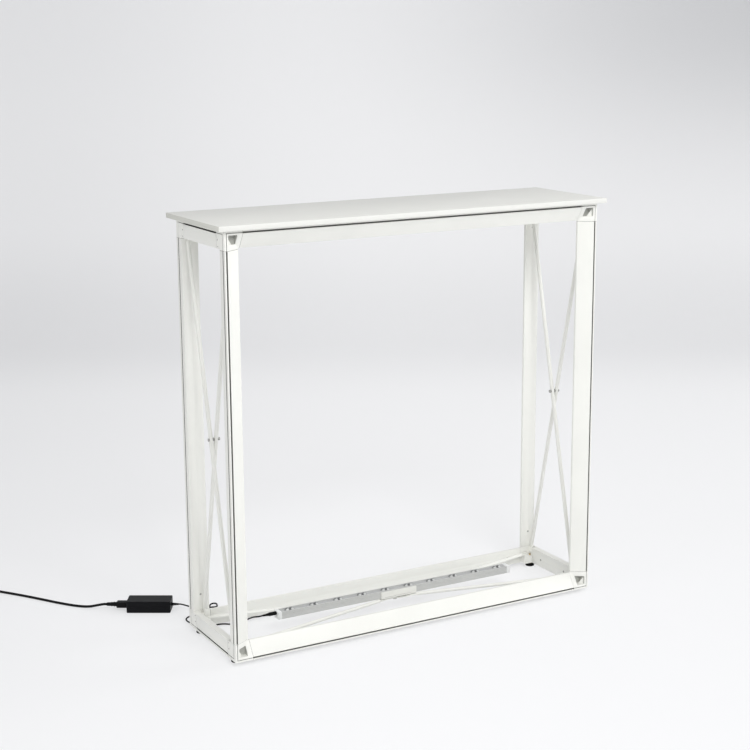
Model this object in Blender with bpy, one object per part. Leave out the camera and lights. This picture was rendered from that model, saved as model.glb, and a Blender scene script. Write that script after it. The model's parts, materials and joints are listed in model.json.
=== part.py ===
"""Backlit exhibition counter: a knock-down aluminium frame with a board on top and a light inside.

World frame, in metres: X runs along the counter, Y from front to back, Z up, the floor at zero.
A corner has a frame of its own: u runs inward from the outer side face, v inward from the front or
back face, and w inward from the outer top or bottom face.
"""

import math

import bmesh
import bpy
import numpy as np
from mathutils import Matrix, Vector

# Frame and board
FRAME_WIDTH = 1.000
FRAME_DEPTH = 0.275
FRAME_HEIGHT = 1.000
FLOOR_CLEARANCE = 0.010
BOARD_THICKNESS = 0.012
BOARD_END_OVERHANG = 0.019
BOARD_SIDE_OVERHANG = 0.015
BOARD_EDGE = 0.0008
BOARD_GAP = 0.001

# Clearances
SEAT = 0.0003
OVERRUN = 0.004
MERGE = 0.00001

# Aluminium section of the posts and of the front and back rails
SECTION_FACE = 0.0415
SECTION_DEPTH = 0.0275
SECTION_WALL = 0.002
OUTER_WALL = 0.0025
FACE_SKIN = 0.0022
LIP_WIDTH = 0.008
SLOPE_DROP = 0.0214
GROOVE_WIDTH = 0.0036
GROOVE_DEPTH = 0.007
GROOVE_WALL = 0.0015
FRONT_GROOVE = 0.005
SIDE_GROOVE = 0.0105

# Tube of the side rails
TUBE_THICKNESS = 0.016
TUBE_HEIGHT = 0.042
TUBE_WALL = 0.0016
TUBE_GROOVE = 0.0075

# Corner connectors
REACH = 0.044
FOOT_BLOCK_WIDTH = 0.039
FOOT_BLOCK_HEIGHT = 0.024
FOOT_STEP_WIDTH = 0.0245
FOOT_STEP_HEIGHT = 0.0195
FOOT_PLACE = (0.016, 0.034)
CORNER_GROOVE = 0.0013
POCKET_NEAR = 0.010
POCKET_FAR = 0.032
POCKET_DEPTH = 0.020
POCKET_ROUND = 0.002
TONGUE_END = 0.092
TONGUE_ROOT = 0.004
STUD_PLACE = 0.0852
STUD_CENTRE = 0.0195
STUD_RADIUS = 0.002
STUD_SINK = 0.0004
SCREW_PLACE = (0.0385, 0.0225)
SCREW_RADIUS = 0.0014
SCREW_DEPTH = 0.005

# Braces: round tubes whose ends are pressed flat
FLAT_LENGTH = 0.012
NECK_RUN = 0.012
NECK_SHARE = 0.5
CONE_LEAD = 0.004
CONE_RUN = 0.009

# Side braces
SIDE_BRACE_RADIUS = 0.005
SIDE_BRACE_DEPTH = 0.0125
SIDE_BRACE_SPACING = 0.013
EYE_THICKNESS = 0.0025
EYE_RADIUS = 0.0055
EYE_PLACE = (0.0338, 0.036)
EYE_PIN_RADIUS = 0.002
EYE_PIN_END = 0.0012
EYE_SHOULDER = 0.0034
EYE_MARK_RADIUS = 0.0018
EYE_MARK_DEPTH = 0.0008
SLOT_SKIN = 0.0025
SLOT_LENGTH = 0.014
CROSS_PIN_RADIUS = 0.0025
CROSS_COLLAR_RADIUS = 0.0042
CROSS_HEAD_RADIUS = 0.004
CROSS_HEAD_HEIGHT = 0.0012
CROSS_TAIL_HEIGHT = 0.0035

# Bottom brace
FLOOR_BRACE_RADIUS = 0.0045
FLOOR_BRACE_WIDTH = 0.012
FLOOR_BRACE_THICKNESS = 0.0025
FLOOR_BRACE_PLACE = (0.0314, 0.0348)
PEG_RADIUS = 0.002
PEG_LENGTH = 0.008
JOGGLE_MARGIN = 0.0016
JOGGLE_RUN = 0.014
HUB_RADIUS = 0.003
HUB_HEAD_RADIUS = 0.006
HUB_HEAD_HEIGHT = 0.002
HUB_WASHER_RADIUS = 0.007
HUB_WASHER_HEIGHT = 0.0011
HUB_SPIGOT_RADIUS = 0.0025

# Light and its clip
CLIP_LENGTH = 0.102
CLIP_CENTRE = 0.005
CLIP_WALL = 0.0015
CLIP_BASE = 0.0017
CLIP_HEIGHT = 0.0168
CLIP_SLIT_LENGTH = 0.080
CLIP_SLIT = 0.0008
LIGHT_LENGTH = 0.651
LIGHT_CENTRE = 0.0055
LIGHT_WIDTH = 0.024
LIGHT_HEIGHT = 0.0185
LIGHT_WALL = 0.0022
LIGHT_TRAY_DEPTH = 0.0047
RIDGE_DEPTH = 0.0005
RIDGE_WIDTH = 0.0012
RIDGE_SHARES = (0.2, 0.36, 0.52, 0.80)
CIRCUIT_THICKNESS = 0.0012
LENS_STRIP_THICKNESS = 0.001
LENS_COUNT = 10
LENS_END_MARGIN = 0.0249
LENS_LOBE = 0.0062
LENS_LOBE_SPACING = 0.0115
LENS_HEIGHT = 0.0052
DOME_SHARES = ((0, 0), (1, 0), (1, 0.4), (0.866, 0.7), (0.5, 0.9), (0, 1))
CAP_LENGTH = 0.010
CAP_SPIGOT = 0.006
CAP_EDGE = 0.0012
SOCKET_HEIGHT = 0.014
SOCKET_DEPTH = 0.008

# Feet and board pegs
PAD_RADIUS = 0.012
PAD_HEIGHT = 0.007
PAD_BORE_DEPTH = 0.004
PAD_EDGE = 0.001
STUD_SHAFT_RADIUS = 0.0032
FOOT_STUD_TOP = 0.0325
COLLAR_RADIUS = 0.0062
BOARD_PEG_DEPTH = 0.006
BOARD_PEG_LENGTH = 0.018
BOARD_PEG_COLLAR = 0.006

# Low-voltage lead
LEAD_RADIUS = 0.0016
PLUG_RADIUS = 0.0047
PLUG_LENGTH = 0.020
PLUG_BARREL = 0.0026
RELIEF_LENGTH = 0.016
RELIEF_RIBS = 4
RELIEF_THIN_SHARE = 1.3

# Power supply
SUPPLY_LENGTH = 0.111
SUPPLY_WIDTH = 0.049
SUPPLY_HEIGHT = 0.030
SUPPLY_PLACE = (-0.538, 0.308)
SUPPLY_TURN = math.radians(-30)
SUPPLY_CORNER = 0.003
SUPPLY_EDGE = 0.0015
OUTLET_RADIUS = 0.0035
OUTLET_DEPTH = 0.005
OUTLET_RELIEF_LENGTH = 0.018
INLET_WIDTH = 0.016
INLET_HEIGHT = 0.010
INLET_DEPTH = 0.010
CONNECTOR_LENGTH = 0.028
CONNECTOR_WIDTH = 0.020
CONNECTOR_HEIGHT = 0.015
CONNECTOR_CORNER = 0.0025
MAINS_RELIEF_LENGTH = 0.025

# Mains cord, its coil and its plug
MAINS_RADIUS = 0.00325
COIL_PLACE = (-0.9074, 0.6364)
COIL_INNER_RADIUS = 0.028
COIL_TURNS = 6
COIL_STEPS = 24
COIL_GAP = 0.0007
COIL_START = math.radians(36.9)
TIE_THICKNESS = 0.0012
TIE_WIDTH = 0.006
TIE_EASE = 0.0006
TAIL_LENGTH = 0.085
MAINS_PLUG_LENGTH = 0.034
MAINS_PLUG_WIDTH = 0.026
MAINS_PLUG_HEIGHT = 0.014
MAINS_PLUG_CORNER = 0.004
PLUG_PIN_RADIUS = 0.002
PLUG_PIN_LENGTH = 0.019
PLUG_PIN_SPACING = 0.0186

# Fineness
ROD_SIDES = 10
TURN_SIDES = 12
PAD_SIDES = 20
LOBE_SIDES = 10
CURVE_STEPS = 40
ROUND_STEPS = 3
SMOOTH_ANGLE = math.radians(35)
FLAT_ANGLE = math.radians(1)
LEAD_SPACING_SHARE = 5.6
COIL_CLIMB_SHARE = 0.25

# Finishes: colour, roughness, metallic
WHITE_PAINT = ((0.86, 0.86, 0.83), 0.45, 0.0)
WHITE_BOARD = ((0.80, 0.80, 0.78), 0.50, 0.0)
WHITE_PLASTIC = ((0.88, 0.88, 0.86), 0.40, 0.0)
ALUMINIUM = ((0.62, 0.63, 0.63), 0.35, 0.9)
GREEN_LAMINATE = ((0.75, 0.77, 0.76), 0.5, 0.0)
CLEAR_PLASTIC = ((0.70, 0.72, 0.72), 0.15, 0.0)
STEEL = ((0.55, 0.55, 0.54), 0.35, 1.0)
BRASS = ((0.66, 0.42, 0.20), 0.35, 1.0)
BLACK_RUBBER = ((0.012, 0.012, 0.012), 0.75, 0.0)
BLACK_PLASTIC = ((0.015, 0.015, 0.016), 0.45, 0.0)

# Signs of a corner and their names
SIDES = {"left": -1, "right": 1}
FACES = {"front": -1, "back": 1}
LEVELS = {"bottom": -1, "top": 1}

# Sizes that follow from the ones above
FRAME_TOP = FLOOR_CLEARANCE + FRAME_HEIGHT
SLOPE = SLOPE_DROP / (SECTION_FACE - LIP_WIDTH)
SLOPE_STRETCH = math.hypot(1, SLOPE)
GROOVE_FLOOR_WALL = GROOVE_DEPTH + GROOVE_WALL
OUTER_BRACE = SIDE_BRACE_DEPTH
INNER_BRACE = OUTER_BRACE + SIDE_BRACE_SPACING
HALF_EYE = EYE_THICKNESS / 2 + SEAT
SLOT_WALL = OUTER_BRACE + HALF_EYE
BRACE_LEVEL = FLOOR_CLEARANCE + FOOT_BLOCK_HEIGHT + SEAT
LOW_BRACE_LEVEL = BRACE_LEVEL - SEAT - FLOOR_BRACE_THICKNESS
WASHER_LEVEL = BRACE_LEVEL + FLOOR_BRACE_THICKNESS + SEAT
CLIP_LEVEL = WASHER_LEVEL + HUB_WASHER_HEIGHT + SEAT
LIGHT_LEVEL = CLIP_LEVEL + CLIP_BASE + SEAT
TRAY_LEVEL = LIGHT_HEIGHT - LIGHT_TRAY_DEPTH
LENS_PITCH = (LIGHT_LENGTH - 2 * LENS_END_MARGIN) / (LENS_COUNT - 1)
COIL_PITCH = 2 * MAINS_RADIUS + COIL_GAP
COIL_LEVEL = TIE_THICKNESS + TIE_EASE + MAINS_RADIUS
SUPPLY_MIDDLE = SUPPLY_HEIGHT / 2

# The outline's first axis, its second axis and the sweep, for each sweep direction
AXES = "xyz"
SWEEPS = {"x": "yzx", "y": "xzy", "z": "xyz"}
TURNS = {
    "x": Matrix.Rotation(math.pi / 2, 4, "Y"),
    "y": Matrix.Rotation(-math.pi / 2, 4, "X"),
    "z": Matrix.Identity(4),
}
SWAP_U_W = Matrix(((0, 0, 1, 0), (0, 1, 0, 0), (1, 0, 0, 0), (0, 0, 0, 1)))
SWAP_V_W = Matrix(((1, 0, 0, 0), (0, 0, 1, 0), (0, 1, 0, 0), (0, 0, 0, 1)))


def clear_scene():
    for item in list(bpy.data.objects):
        bpy.data.objects.remove(item)


def finished_mesh(shape):
    """Turns a bmesh into a mesh whose faces point out."""
    bmesh.ops.recalc_face_normals(shape, faces=shape.faces)
    mesh = bpy.data.meshes.new("shape")
    shape.to_mesh(mesh)
    shape.free()
    return mesh


def rectangle(low, high):
    return [(low[0], low[1]), (high[0], low[1]), (high[0], high[1]), (low[0], high[1])]


def arc(centre, radius, start, end, steps):
    angles = [start + (end - start) * step / steps for step in range(steps + 1)]
    return [(centre[0] + radius * math.cos(a), centre[1] + radius * math.sin(a)) for a in angles]


def circle(centre, radius, sides):
    return arc(centre, radius, 0, math.tau, sides)[:-1]


def rounded_rectangle(low, high, radius):
    """A rectangle with quarter circles at its corners."""
    outline = []
    for index, (side, level) in enumerate(((1, 1), (0, 1), (0, 0), (1, 0))):
        x = high[0] - radius if side else low[0] + radius
        y = high[1] - radius if level else low[1] + radius
        start = index * math.pi / 2
        outline += arc((x, y), radius, start, start + math.pi / 2, ROUND_STEPS)
    return outline


def prism(outlines, start, end, sweep="z"):
    """Sweeps an outline along an axis. The first outline is the outside, any others are holes."""
    first, second, along = (AXES.index(letter) for letter in SWEEPS[sweep])
    shape = bmesh.new()
    edges = []
    for outline in outlines:
        ring = []
        for a, b in outline:
            place = [start, start, start]
            place[first] = a
            place[second] = b
            ring.append(shape.verts.new(place))
        edges += [shape.edges.new(pair) for pair in zip(ring, ring[1:] + ring[:1])]
    offset = Vector((0, 0, 0))
    offset[along] = end - start
    bmesh.ops.triangle_fill(shape, edges=edges, use_beauty=True, normal=offset.normalized())
    swept = bmesh.ops.extrude_face_region(shape, geom=shape.faces[:])
    moving = [item for item in swept["geom"] if isinstance(item, bmesh.types.BMVert)]
    bmesh.ops.translate(shape, verts=moving, vec=offset)
    return finished_mesh(shape)


def box(low, high):
    return prism([rectangle(low[:2], high[:2])], low[2], high[2])


def rod(centre, radius, start, end, sweep="z", sides=ROD_SIDES):
    return prism([circle(centre, radius, sides)], start, end, sweep)


def turned(profile, axis="z", sides=TURN_SIDES):
    """Turns a profile of (radius, height) points, which starts and ends on the axis."""
    shape = bmesh.new()
    line = [shape.verts.new((radius, 0, height)) for radius, height in profile]
    edges = [shape.edges.new(pair) for pair in zip(line, line[1:])]
    bmesh.ops.spin(
        shape,
        geom=line + edges,
        cent=(0, 0, 0),
        axis=(0, 0, 1),
        angle=math.tau,
        steps=sides,
        use_merge=True,
    )
    bmesh.ops.remove_doubles(shape, verts=shape.verts, dist=MERGE)
    return moved(finished_mesh(shape), TURNS[axis])


def moved(mesh, matrix):
    """A copy of the mesh, moved, turned or mirrored, with its faces still pointing out."""
    copy = mesh.copy()
    copy.transform(matrix)
    if matrix.is_negative:
        copy.flip_normals()
    return copy


def bevelled(mesh, width, steps, chosen):
    """Rounds the edges whose two ends both pass the test."""
    shape = bmesh.new()
    shape.from_mesh(mesh)
    bmesh.ops.dissolve_limit(
        shape, angle_limit=FLAT_ANGLE, verts=shape.verts, edges=shape.edges
    )
    edges = [edge for edge in shape.edges if all(chosen(vert.co) for vert in edge.verts)]
    bmesh.ops.bevel(
        shape, geom=edges, offset=width, segments=steps, profile=0.5, affect="EDGES"
    )
    return finished_mesh(shape)


def combined(base, operands):
    """The base changed by each (operation, mesh) in turn."""
    body = bpy.data.objects.new("body", base)
    helpers = [body]
    for operation, mesh in operands:
        tool = bpy.data.objects.new("tool", mesh)
        tool.hide_render = True
        tool.display_type = "WIRE"
        change = body.modifiers.new(operation, "BOOLEAN")
        change.operation = operation
        change.solver = "EXACT"
        change.object = tool
        helpers.append(tool)
    for helper in helpers:
        bpy.context.scene.collection.objects.link(helper)
    graph = bpy.context.evaluated_depsgraph_get()
    result = bpy.data.meshes.new_from_object(body.evaluated_get(graph), depsgraph=graph)
    for helper in helpers:
        bpy.data.objects.remove(helper)
    return result


def joined(base, others):
    return combined(base, [("UNION", mesh) for mesh in others])


def cut(base, cutters):
    return combined(base, [("DIFFERENCE", mesh) for mesh in cutters])


def give_finish(data, name, finish):
    colour, roughness, metallic = finish
    material = bpy.data.materials.new(name + "_finish")
    material.use_nodes = True
    shader = material.node_tree.nodes["Principled BSDF"]
    shader.inputs["Base Color"].default_value = (*colour, 1)
    shader.inputs["Roughness"].default_value = roughness
    shader.inputs["Metallic"].default_value = metallic
    data.materials.clear()
    data.materials.append(material)


def add_part(name, mesh, finish, location=(0, 0, 0), rotation=(0, 0, 0), parent=None):
    mesh.name = name
    mesh.shade_smooth()
    mesh.set_sharp_from_angle(angle=SMOOTH_ANGLE)
    part = bpy.data.objects.new(name, mesh)
    bpy.context.scene.collection.objects.link(part)
    part.location = location
    part.rotation_euler = rotation
    part.parent = parent
    give_finish(mesh, name, finish)
    return part


def corner_place(side, face, level):
    """World place of the frame's outer corner."""
    return (
        side * FRAME_WIDTH / 2,
        face * FRAME_DEPTH / 2,
        FLOOR_CLEARANCE + (level + 1) * FRAME_HEIGHT / 2,
    )


def corner_mirror(side, face, level):
    """Turns u, v and w of a corner into world directions."""
    return Matrix.Diagonal((-side, -face, -level, 1))


# Aluminium section


def slope_underside(u, inset=0):
    """Inner side of the sloped face at u, moved in by the inset."""
    return (u - LIP_WIDTH) * SLOPE + (FACE_SKIN + inset) * SLOPE_STRETCH


def section_outline():
    """Outside of the post section in u and v, with its two fabric grooves."""
    front_near = FRONT_GROOVE - GROOVE_WIDTH / 2
    front_far = FRONT_GROOVE + GROOVE_WIDTH / 2
    side_near = SIDE_GROOVE - GROOVE_WIDTH / 2
    side_far = SIDE_GROOVE + GROOVE_WIDTH / 2
    return [
        (0, 0),
        (front_near, 0),
        (front_near, GROOVE_DEPTH),
        (front_far, GROOVE_DEPTH),
        (front_far, 0),
        (LIP_WIDTH, 0),
        (SECTION_FACE, SLOPE_DROP),
        (SECTION_FACE, SECTION_DEPTH),
        (0, SECTION_DEPTH),
        (0, side_far),
        (GROOVE_DEPTH, side_far),
        (GROOVE_DEPTH, side_near),
        (0, side_near),
    ]


def section_hollow(inset=0):
    """Inside of the post section. With an inset it is the outline of the tongue that fits it."""
    near = FRONT_GROOVE + GROOVE_WIDTH / 2 + GROOVE_WALL + inset
    far = SECTION_FACE - SECTION_WALL - inset
    back = SECTION_DEPTH - SECTION_WALL - inset
    shelf = SIDE_GROOVE + GROOVE_WIDTH / 2 + GROOVE_WALL + inset
    return [
        (near, slope_underside(near, inset)),
        (far, slope_underside(far, inset)),
        (far, back),
        (OUTER_WALL + inset, back),
        (OUTER_WALL + inset, shelf),
        (near, shelf),
    ]


def stud_hole(place, start, end):
    """Cutter for a snap stud, at a distance from the corner."""
    return rod((STUD_CENTRE, place), STUD_RADIUS + SEAT, start, end, "y")


def frame_bar(length):
    """A post between two corner connectors, with w from the frame's outer face."""
    start = REACH + SEAT
    bar = prism([section_outline(), section_hollow()], start, length - start)
    back = SECTION_DEPTH - SECTION_WALL - OVERRUN
    holes = [
        stud_hole(place, back, SECTION_DEPTH + OVERRUN)
        for place in (STUD_PLACE, length - STUD_PLACE)
    ]
    return cut(bar, holes)


def tube_outline():
    """Outside of the side rail in u and w, with its fabric groove."""
    near = TUBE_GROOVE - GROOVE_WIDTH / 2
    far = TUBE_GROOVE + GROOVE_WIDTH / 2
    return [
        (0, 0),
        (TUBE_THICKNESS, 0),
        (TUBE_THICKNESS, TUBE_HEIGHT),
        (0, TUBE_HEIGHT),
        (0, far),
        (GROOVE_DEPTH, far),
        (GROOVE_DEPTH, near),
        (0, near),
    ]


def tube_hollow(inset=0):
    shelf = TUBE_GROOVE + GROOVE_WIDTH / 2 + GROOVE_WALL + inset
    near = TUBE_WALL + inset
    far = TUBE_THICKNESS - TUBE_WALL - inset
    step = GROOVE_FLOOR_WALL + inset
    return [
        (near, shelf),
        (step, shelf),
        (step, near),
        (far, near),
        (far, TUBE_HEIGHT - near),
        (near, TUBE_HEIGHT - near),
    ]


def side_tube():
    """A side rail, with v from the front of the frame."""
    start = REACH + SEAT
    tube = prism([tube_outline(), tube_hollow()], start, FRAME_DEPTH - start, "y")
    holes = [
        rod(
            (place, STUD_CENTRE),
            STUD_RADIUS + SEAT,
            TUBE_THICKNESS - TUBE_WALL - OVERRUN,
            TUBE_THICKNESS + OVERRUN,
            "x",
        )
        for place in (STUD_PLACE, FRAME_DEPTH - STUD_PLACE)
    ]
    return cut(tube, holes)


# Corner connectors


def tongue():
    """Tongue in the post, with its snap stud."""
    root = REACH - TONGUE_ROOT
    blade = prism([section_hollow(SEAT)], root, TONGUE_END)
    stud = rod(
        (STUD_CENTRE, STUD_PLACE),
        STUD_RADIUS,
        SECTION_DEPTH / 2,
        SECTION_DEPTH - STUD_SINK,
        "y",
    )
    return joined(blade, [stud])


def side_tongue():
    """Tongue in the side rail, with its snap stud."""
    blade = prism([tube_hollow(SEAT)], REACH - TONGUE_ROOT, TONGUE_END, "y")
    stud = rod(
        (STUD_PLACE, STUD_CENTRE),
        STUD_RADIUS,
        TUBE_THICKNESS / 2,
        TUBE_THICKNESS - STUD_SINK,
        "x",
    )
    return joined(blade, [stud])


def corner_pocket():
    """Square pocket in the front of the connector, cut straight back."""
    pocket = prism(
        [
            rounded_rectangle(
                (POCKET_NEAR, POCKET_NEAR), (POCKET_FAR, POCKET_FAR), POCKET_ROUND
            )
        ],
        -OVERRUN,
        POCKET_DEPTH,
    )
    return moved(pocket, SWAP_V_W)


def corner_grooves():
    """The fabric grooves run on over the connector as narrow slits."""
    half = CORNER_GROOVE / 2
    end = REACH + OVERRUN
    front = box(
        (FRONT_GROOVE - half, -OVERRUN, FRONT_GROOVE - half),
        (FRONT_GROOVE + half, GROOVE_DEPTH, end),
    )
    side = box(
        (-OVERRUN, SIDE_GROOVE - half, TUBE_GROOVE - half),
        (GROOVE_DEPTH, SIDE_GROOVE + half, end),
    )
    along_tube = box(
        (-OVERRUN, SIDE_GROOVE - half, TUBE_GROOVE - half),
        (GROOVE_DEPTH, end, TUBE_GROOVE + half),
    )
    return [front, moved(front, SWAP_U_W), side, moved(side, SWAP_U_W), along_tube]


def brace_slot():
    """Slot behind the skin for the eye of the outer brace, open towards the middle of the post."""
    v, w = EYE_PLACE
    near = v - EYE_RADIUS - SEAT
    return box(
        (SLOT_SKIN, near, w - EYE_RADIUS - SEAT),
        (SLOT_WALL, near + SLOT_LENGTH, TUBE_HEIGHT + OVERRUN),
    )


def eye_pin(layer):
    """Pin for the eye of a side brace: across the slot, or on a shoulder inside the arm."""
    if layer == "outer":
        root = (SLOT_WALL + TUBE_THICKNESS) / 2
        return [rod(EYE_PLACE, EYE_PIN_RADIUS, SLOT_SKIN / 2, root, "x")]
    root = TUBE_THICKNESS / 2
    return [
        rod(EYE_PLACE, EYE_SHOULDER, root, INNER_BRACE - HALF_EYE, "x"),
        rod(EYE_PLACE, EYE_PIN_RADIUS, root, INNER_BRACE + HALF_EYE + EYE_PIN_END, "x"),
    ]


def connector(layer):
    """Moulded corner in u, v and w: a mitred front block, an arm for the side rail and a foot block."""
    wedge = prism(
        [
            [
                (0, 0),
                (LIP_WIDTH, 0),
                (SECTION_FACE, SLOPE_DROP),
                (SECTION_FACE, SECTION_DEPTH),
                (0, SECTION_DEPTH),
            ]
        ],
        0,
        REACH,
    )
    arm_start = SECTION_DEPTH - OVERRUN
    arm = box((0, arm_start, 0), (TUBE_THICKNESS, REACH, TUBE_HEIGHT))
    foot_outline = [
        (0, 0),
        (FOOT_BLOCK_WIDTH, 0),
        (FOOT_BLOCK_WIDTH, FOOT_BLOCK_HEIGHT),
        (FOOT_STEP_WIDTH, FOOT_BLOCK_HEIGHT),
        (FOOT_STEP_WIDTH, FOOT_STEP_HEIGHT),
        (0, FOOT_STEP_HEIGHT),
    ]
    foot_block = prism([foot_outline], arm_start, REACH, "y")
    post_tongue = tongue()
    body = joined(
        wedge,
        [
            moved(wedge, SWAP_U_W),
            arm,
            foot_block,
            post_tongue,
            moved(post_tongue, SWAP_U_W),
            side_tongue(),
        ],
    )
    bores = [
        rod(FOOT_PLACE, STUD_SHAFT_RADIUS + SEAT, -OVERRUN, FOOT_BLOCK_HEIGHT + OVERRUN),
        rod(
            FLOOR_BRACE_PLACE,
            PEG_RADIUS + SEAT,
            FOOT_BLOCK_HEIGHT - PEG_LENGTH - OVERRUN,
            FOOT_BLOCK_HEIGHT + OVERRUN,
        ),
        rod(SCREW_PLACE, SCREW_RADIUS, -OVERRUN, SCREW_DEPTH, "x"),
        rod(EYE_PLACE, EYE_MARK_RADIUS, -OVERRUN, EYE_MARK_DEPTH, "x"),
    ]
    slots = [brace_slot()] if layer == "outer" else []
    body = cut(body, [corner_pocket(), *corner_grooves(), *bores, *slots])
    return joined(body, eye_pin(layer))


# Frame


def add_frame():
    post = frame_bar(FRAME_HEIGHT)
    rail = moved(frame_bar(FRAME_WIDTH), SWAP_U_W)
    tube = side_tube()
    corners = {layer: connector(layer) for layer in ("outer", "inner")}
    bottom = LEVELS["bottom"]
    left = SIDES["left"]
    front = FACES["front"]
    for face_name, face in FACES.items():
        for side_name, side in SIDES.items():
            add_part(
                f"{face_name}_post_{side_name}",
                moved(post, corner_mirror(side, face, bottom)),
                WHITE_PAINT,
                corner_place(side, face, bottom),
            )
        for level_name, level in LEVELS.items():
            add_part(
                f"{face_name}_rail_{level_name}",
                moved(rail, corner_mirror(left, face, level)),
                WHITE_PAINT,
                corner_place(left, face, level),
            )
    for level_name, level in LEVELS.items():
        for side_name, side in SIDES.items():
            add_part(
                f"side_rail_{side_name}_{level_name}",
                moved(tube, corner_mirror(side, front, level)),
                WHITE_PAINT,
                corner_place(side, front, level),
            )
            for face_name, face in FACES.items():
                layer = "outer" if side * face * level < 0 else "inner"
                add_part(
                    f"connector_{face_name}_{side_name}_{level_name}",
                    moved(corners[layer], corner_mirror(side, face, level)),
                    WHITE_PLASTIC,
                    corner_place(side, face, level),
                )


# Braces


def flat_outline(half_length, half_width, necks):
    """The flat parts of a brace, drawn along its second axis, narrow where a tube hides them."""
    steps = 2 * ROUND_STEPS
    right = []
    for low, high in necks:
        right += [
            (half_width, low),
            (NECK_SHARE * half_width, low + NECK_RUN),
            (NECK_SHARE * half_width, high - NECK_RUN),
            (half_width, high),
        ]
    upper = arc((0, half_length), half_width, 0, math.pi, steps)
    lower = arc((0, -half_length), half_width, math.pi, math.tau, steps)
    return [*right, *upper, *((-a, b) for a, b in reversed(right)), *lower]


def brace_tubes(radius, necks, axis):
    """The round parts of a brace. Each runs out of the flat part in a cone at both ends."""
    tubes = []
    for low, high in necks:
        start = low - CONE_LEAD
        end = high + CONE_LEAD
        profile = [(0, start), (radius, start + CONE_RUN), (radius, end - CONE_RUN), (0, end)]
        tubes.append(turned(profile, axis))
    return tubes


def pin_hole(centre, radius, half_depth):
    """Cutter for a pin that may stand turned in its hole."""
    clear = (radius + SEAT) / math.cos(math.pi / ROD_SIDES)
    return rod(centre, clear, -half_depth, half_depth, "x")


def side_brace(half_length):
    """A side brace along z, with its middle plane at zero."""
    end = half_length - FLAT_LENGTH
    necks = [(-end, end)]
    outline = flat_outline(half_length, EYE_RADIUS, necks)
    flat = prism([outline], -EYE_THICKNESS / 2, EYE_THICKNESS / 2, "x")
    reach = SIDE_BRACE_RADIUS + OVERRUN
    holes = [pin_hole((0, place), EYE_PIN_RADIUS, reach) for place in (-half_length, half_length)]
    holes.append(pin_hole((0, 0), CROSS_PIN_RADIUS, reach))
    return cut(joined(flat, brace_tubes(SIDE_BRACE_RADIUS, necks, "z")), holes)


def cross_pin():
    """Pin through both side braces, with a collar between them, from the outer brace inward."""
    reach = SIDE_BRACE_RADIUS + SEAT
    head = -reach - CROSS_HEAD_HEIGHT
    tail = SIDE_BRACE_SPACING + reach
    return turned(
        [
            (0, head),
            (CROSS_HEAD_RADIUS, head),
            (CROSS_HEAD_RADIUS, -reach),
            (CROSS_PIN_RADIUS, -reach),
            (CROSS_PIN_RADIUS, reach),
            (CROSS_COLLAR_RADIUS, reach),
            (CROSS_COLLAR_RADIUS, SIDE_BRACE_SPACING - reach),
            (CROSS_PIN_RADIUS, SIDE_BRACE_SPACING - reach),
            (CROSS_PIN_RADIUS, tail),
            (CROSS_HEAD_RADIUS, tail),
            (CROSS_HEAD_RADIUS, tail + CROSS_TAIL_HEIGHT),
            (0, tail + CROSS_TAIL_HEIGHT),
        ],
        "x",
        ROD_SIDES,
    )


def add_side_braces():
    across = FRAME_DEPTH / 2 - EYE_PLACE[0]
    up = FRAME_HEIGHT / 2 - EYE_PLACE[1]
    tilt = math.atan2(across, up)
    brace = side_brace(math.hypot(across, up))
    pin = cross_pin()
    middle = FLOOR_CLEARANCE + FRAME_HEIGHT / 2
    for side_name, side in SIDES.items():
        face = side * FRAME_WIDTH / 2
        for layer, depth, turn in (
            ("outer", OUTER_BRACE, side * tilt),
            ("inner", INNER_BRACE, -side * tilt),
        ):
            add_part(
                f"side_brace_{side_name}_{layer}",
                brace.copy(),
                WHITE_PAINT,
                (face - side * depth, 0, middle),
                (turn, 0, 0),
            )
        add_part(
            f"side_brace_{side_name}_pin",
            moved(pin, Matrix.Diagonal((-side, 1, 1, 1))),
            STEEL,
            (face - side * OUTER_BRACE, 0, middle),
        )


def joggle_outline(half_length, flat):
    """Side view of the lower bar: its middle is bent down to pass under the upper bar."""
    low = LOW_BRACE_LEVEL - BRACE_LEVEL
    bend = flat + JOGGLE_RUN
    end = half_length + FLOOR_BRACE_WIDTH
    under = [(-end, 0), (-bend, 0), (-flat, low), (flat, low), (bend, 0), (end, 0)]
    over = [(along, height + FLOOR_BRACE_THICKNESS) for along, height in reversed(under)]
    return under + over


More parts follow.
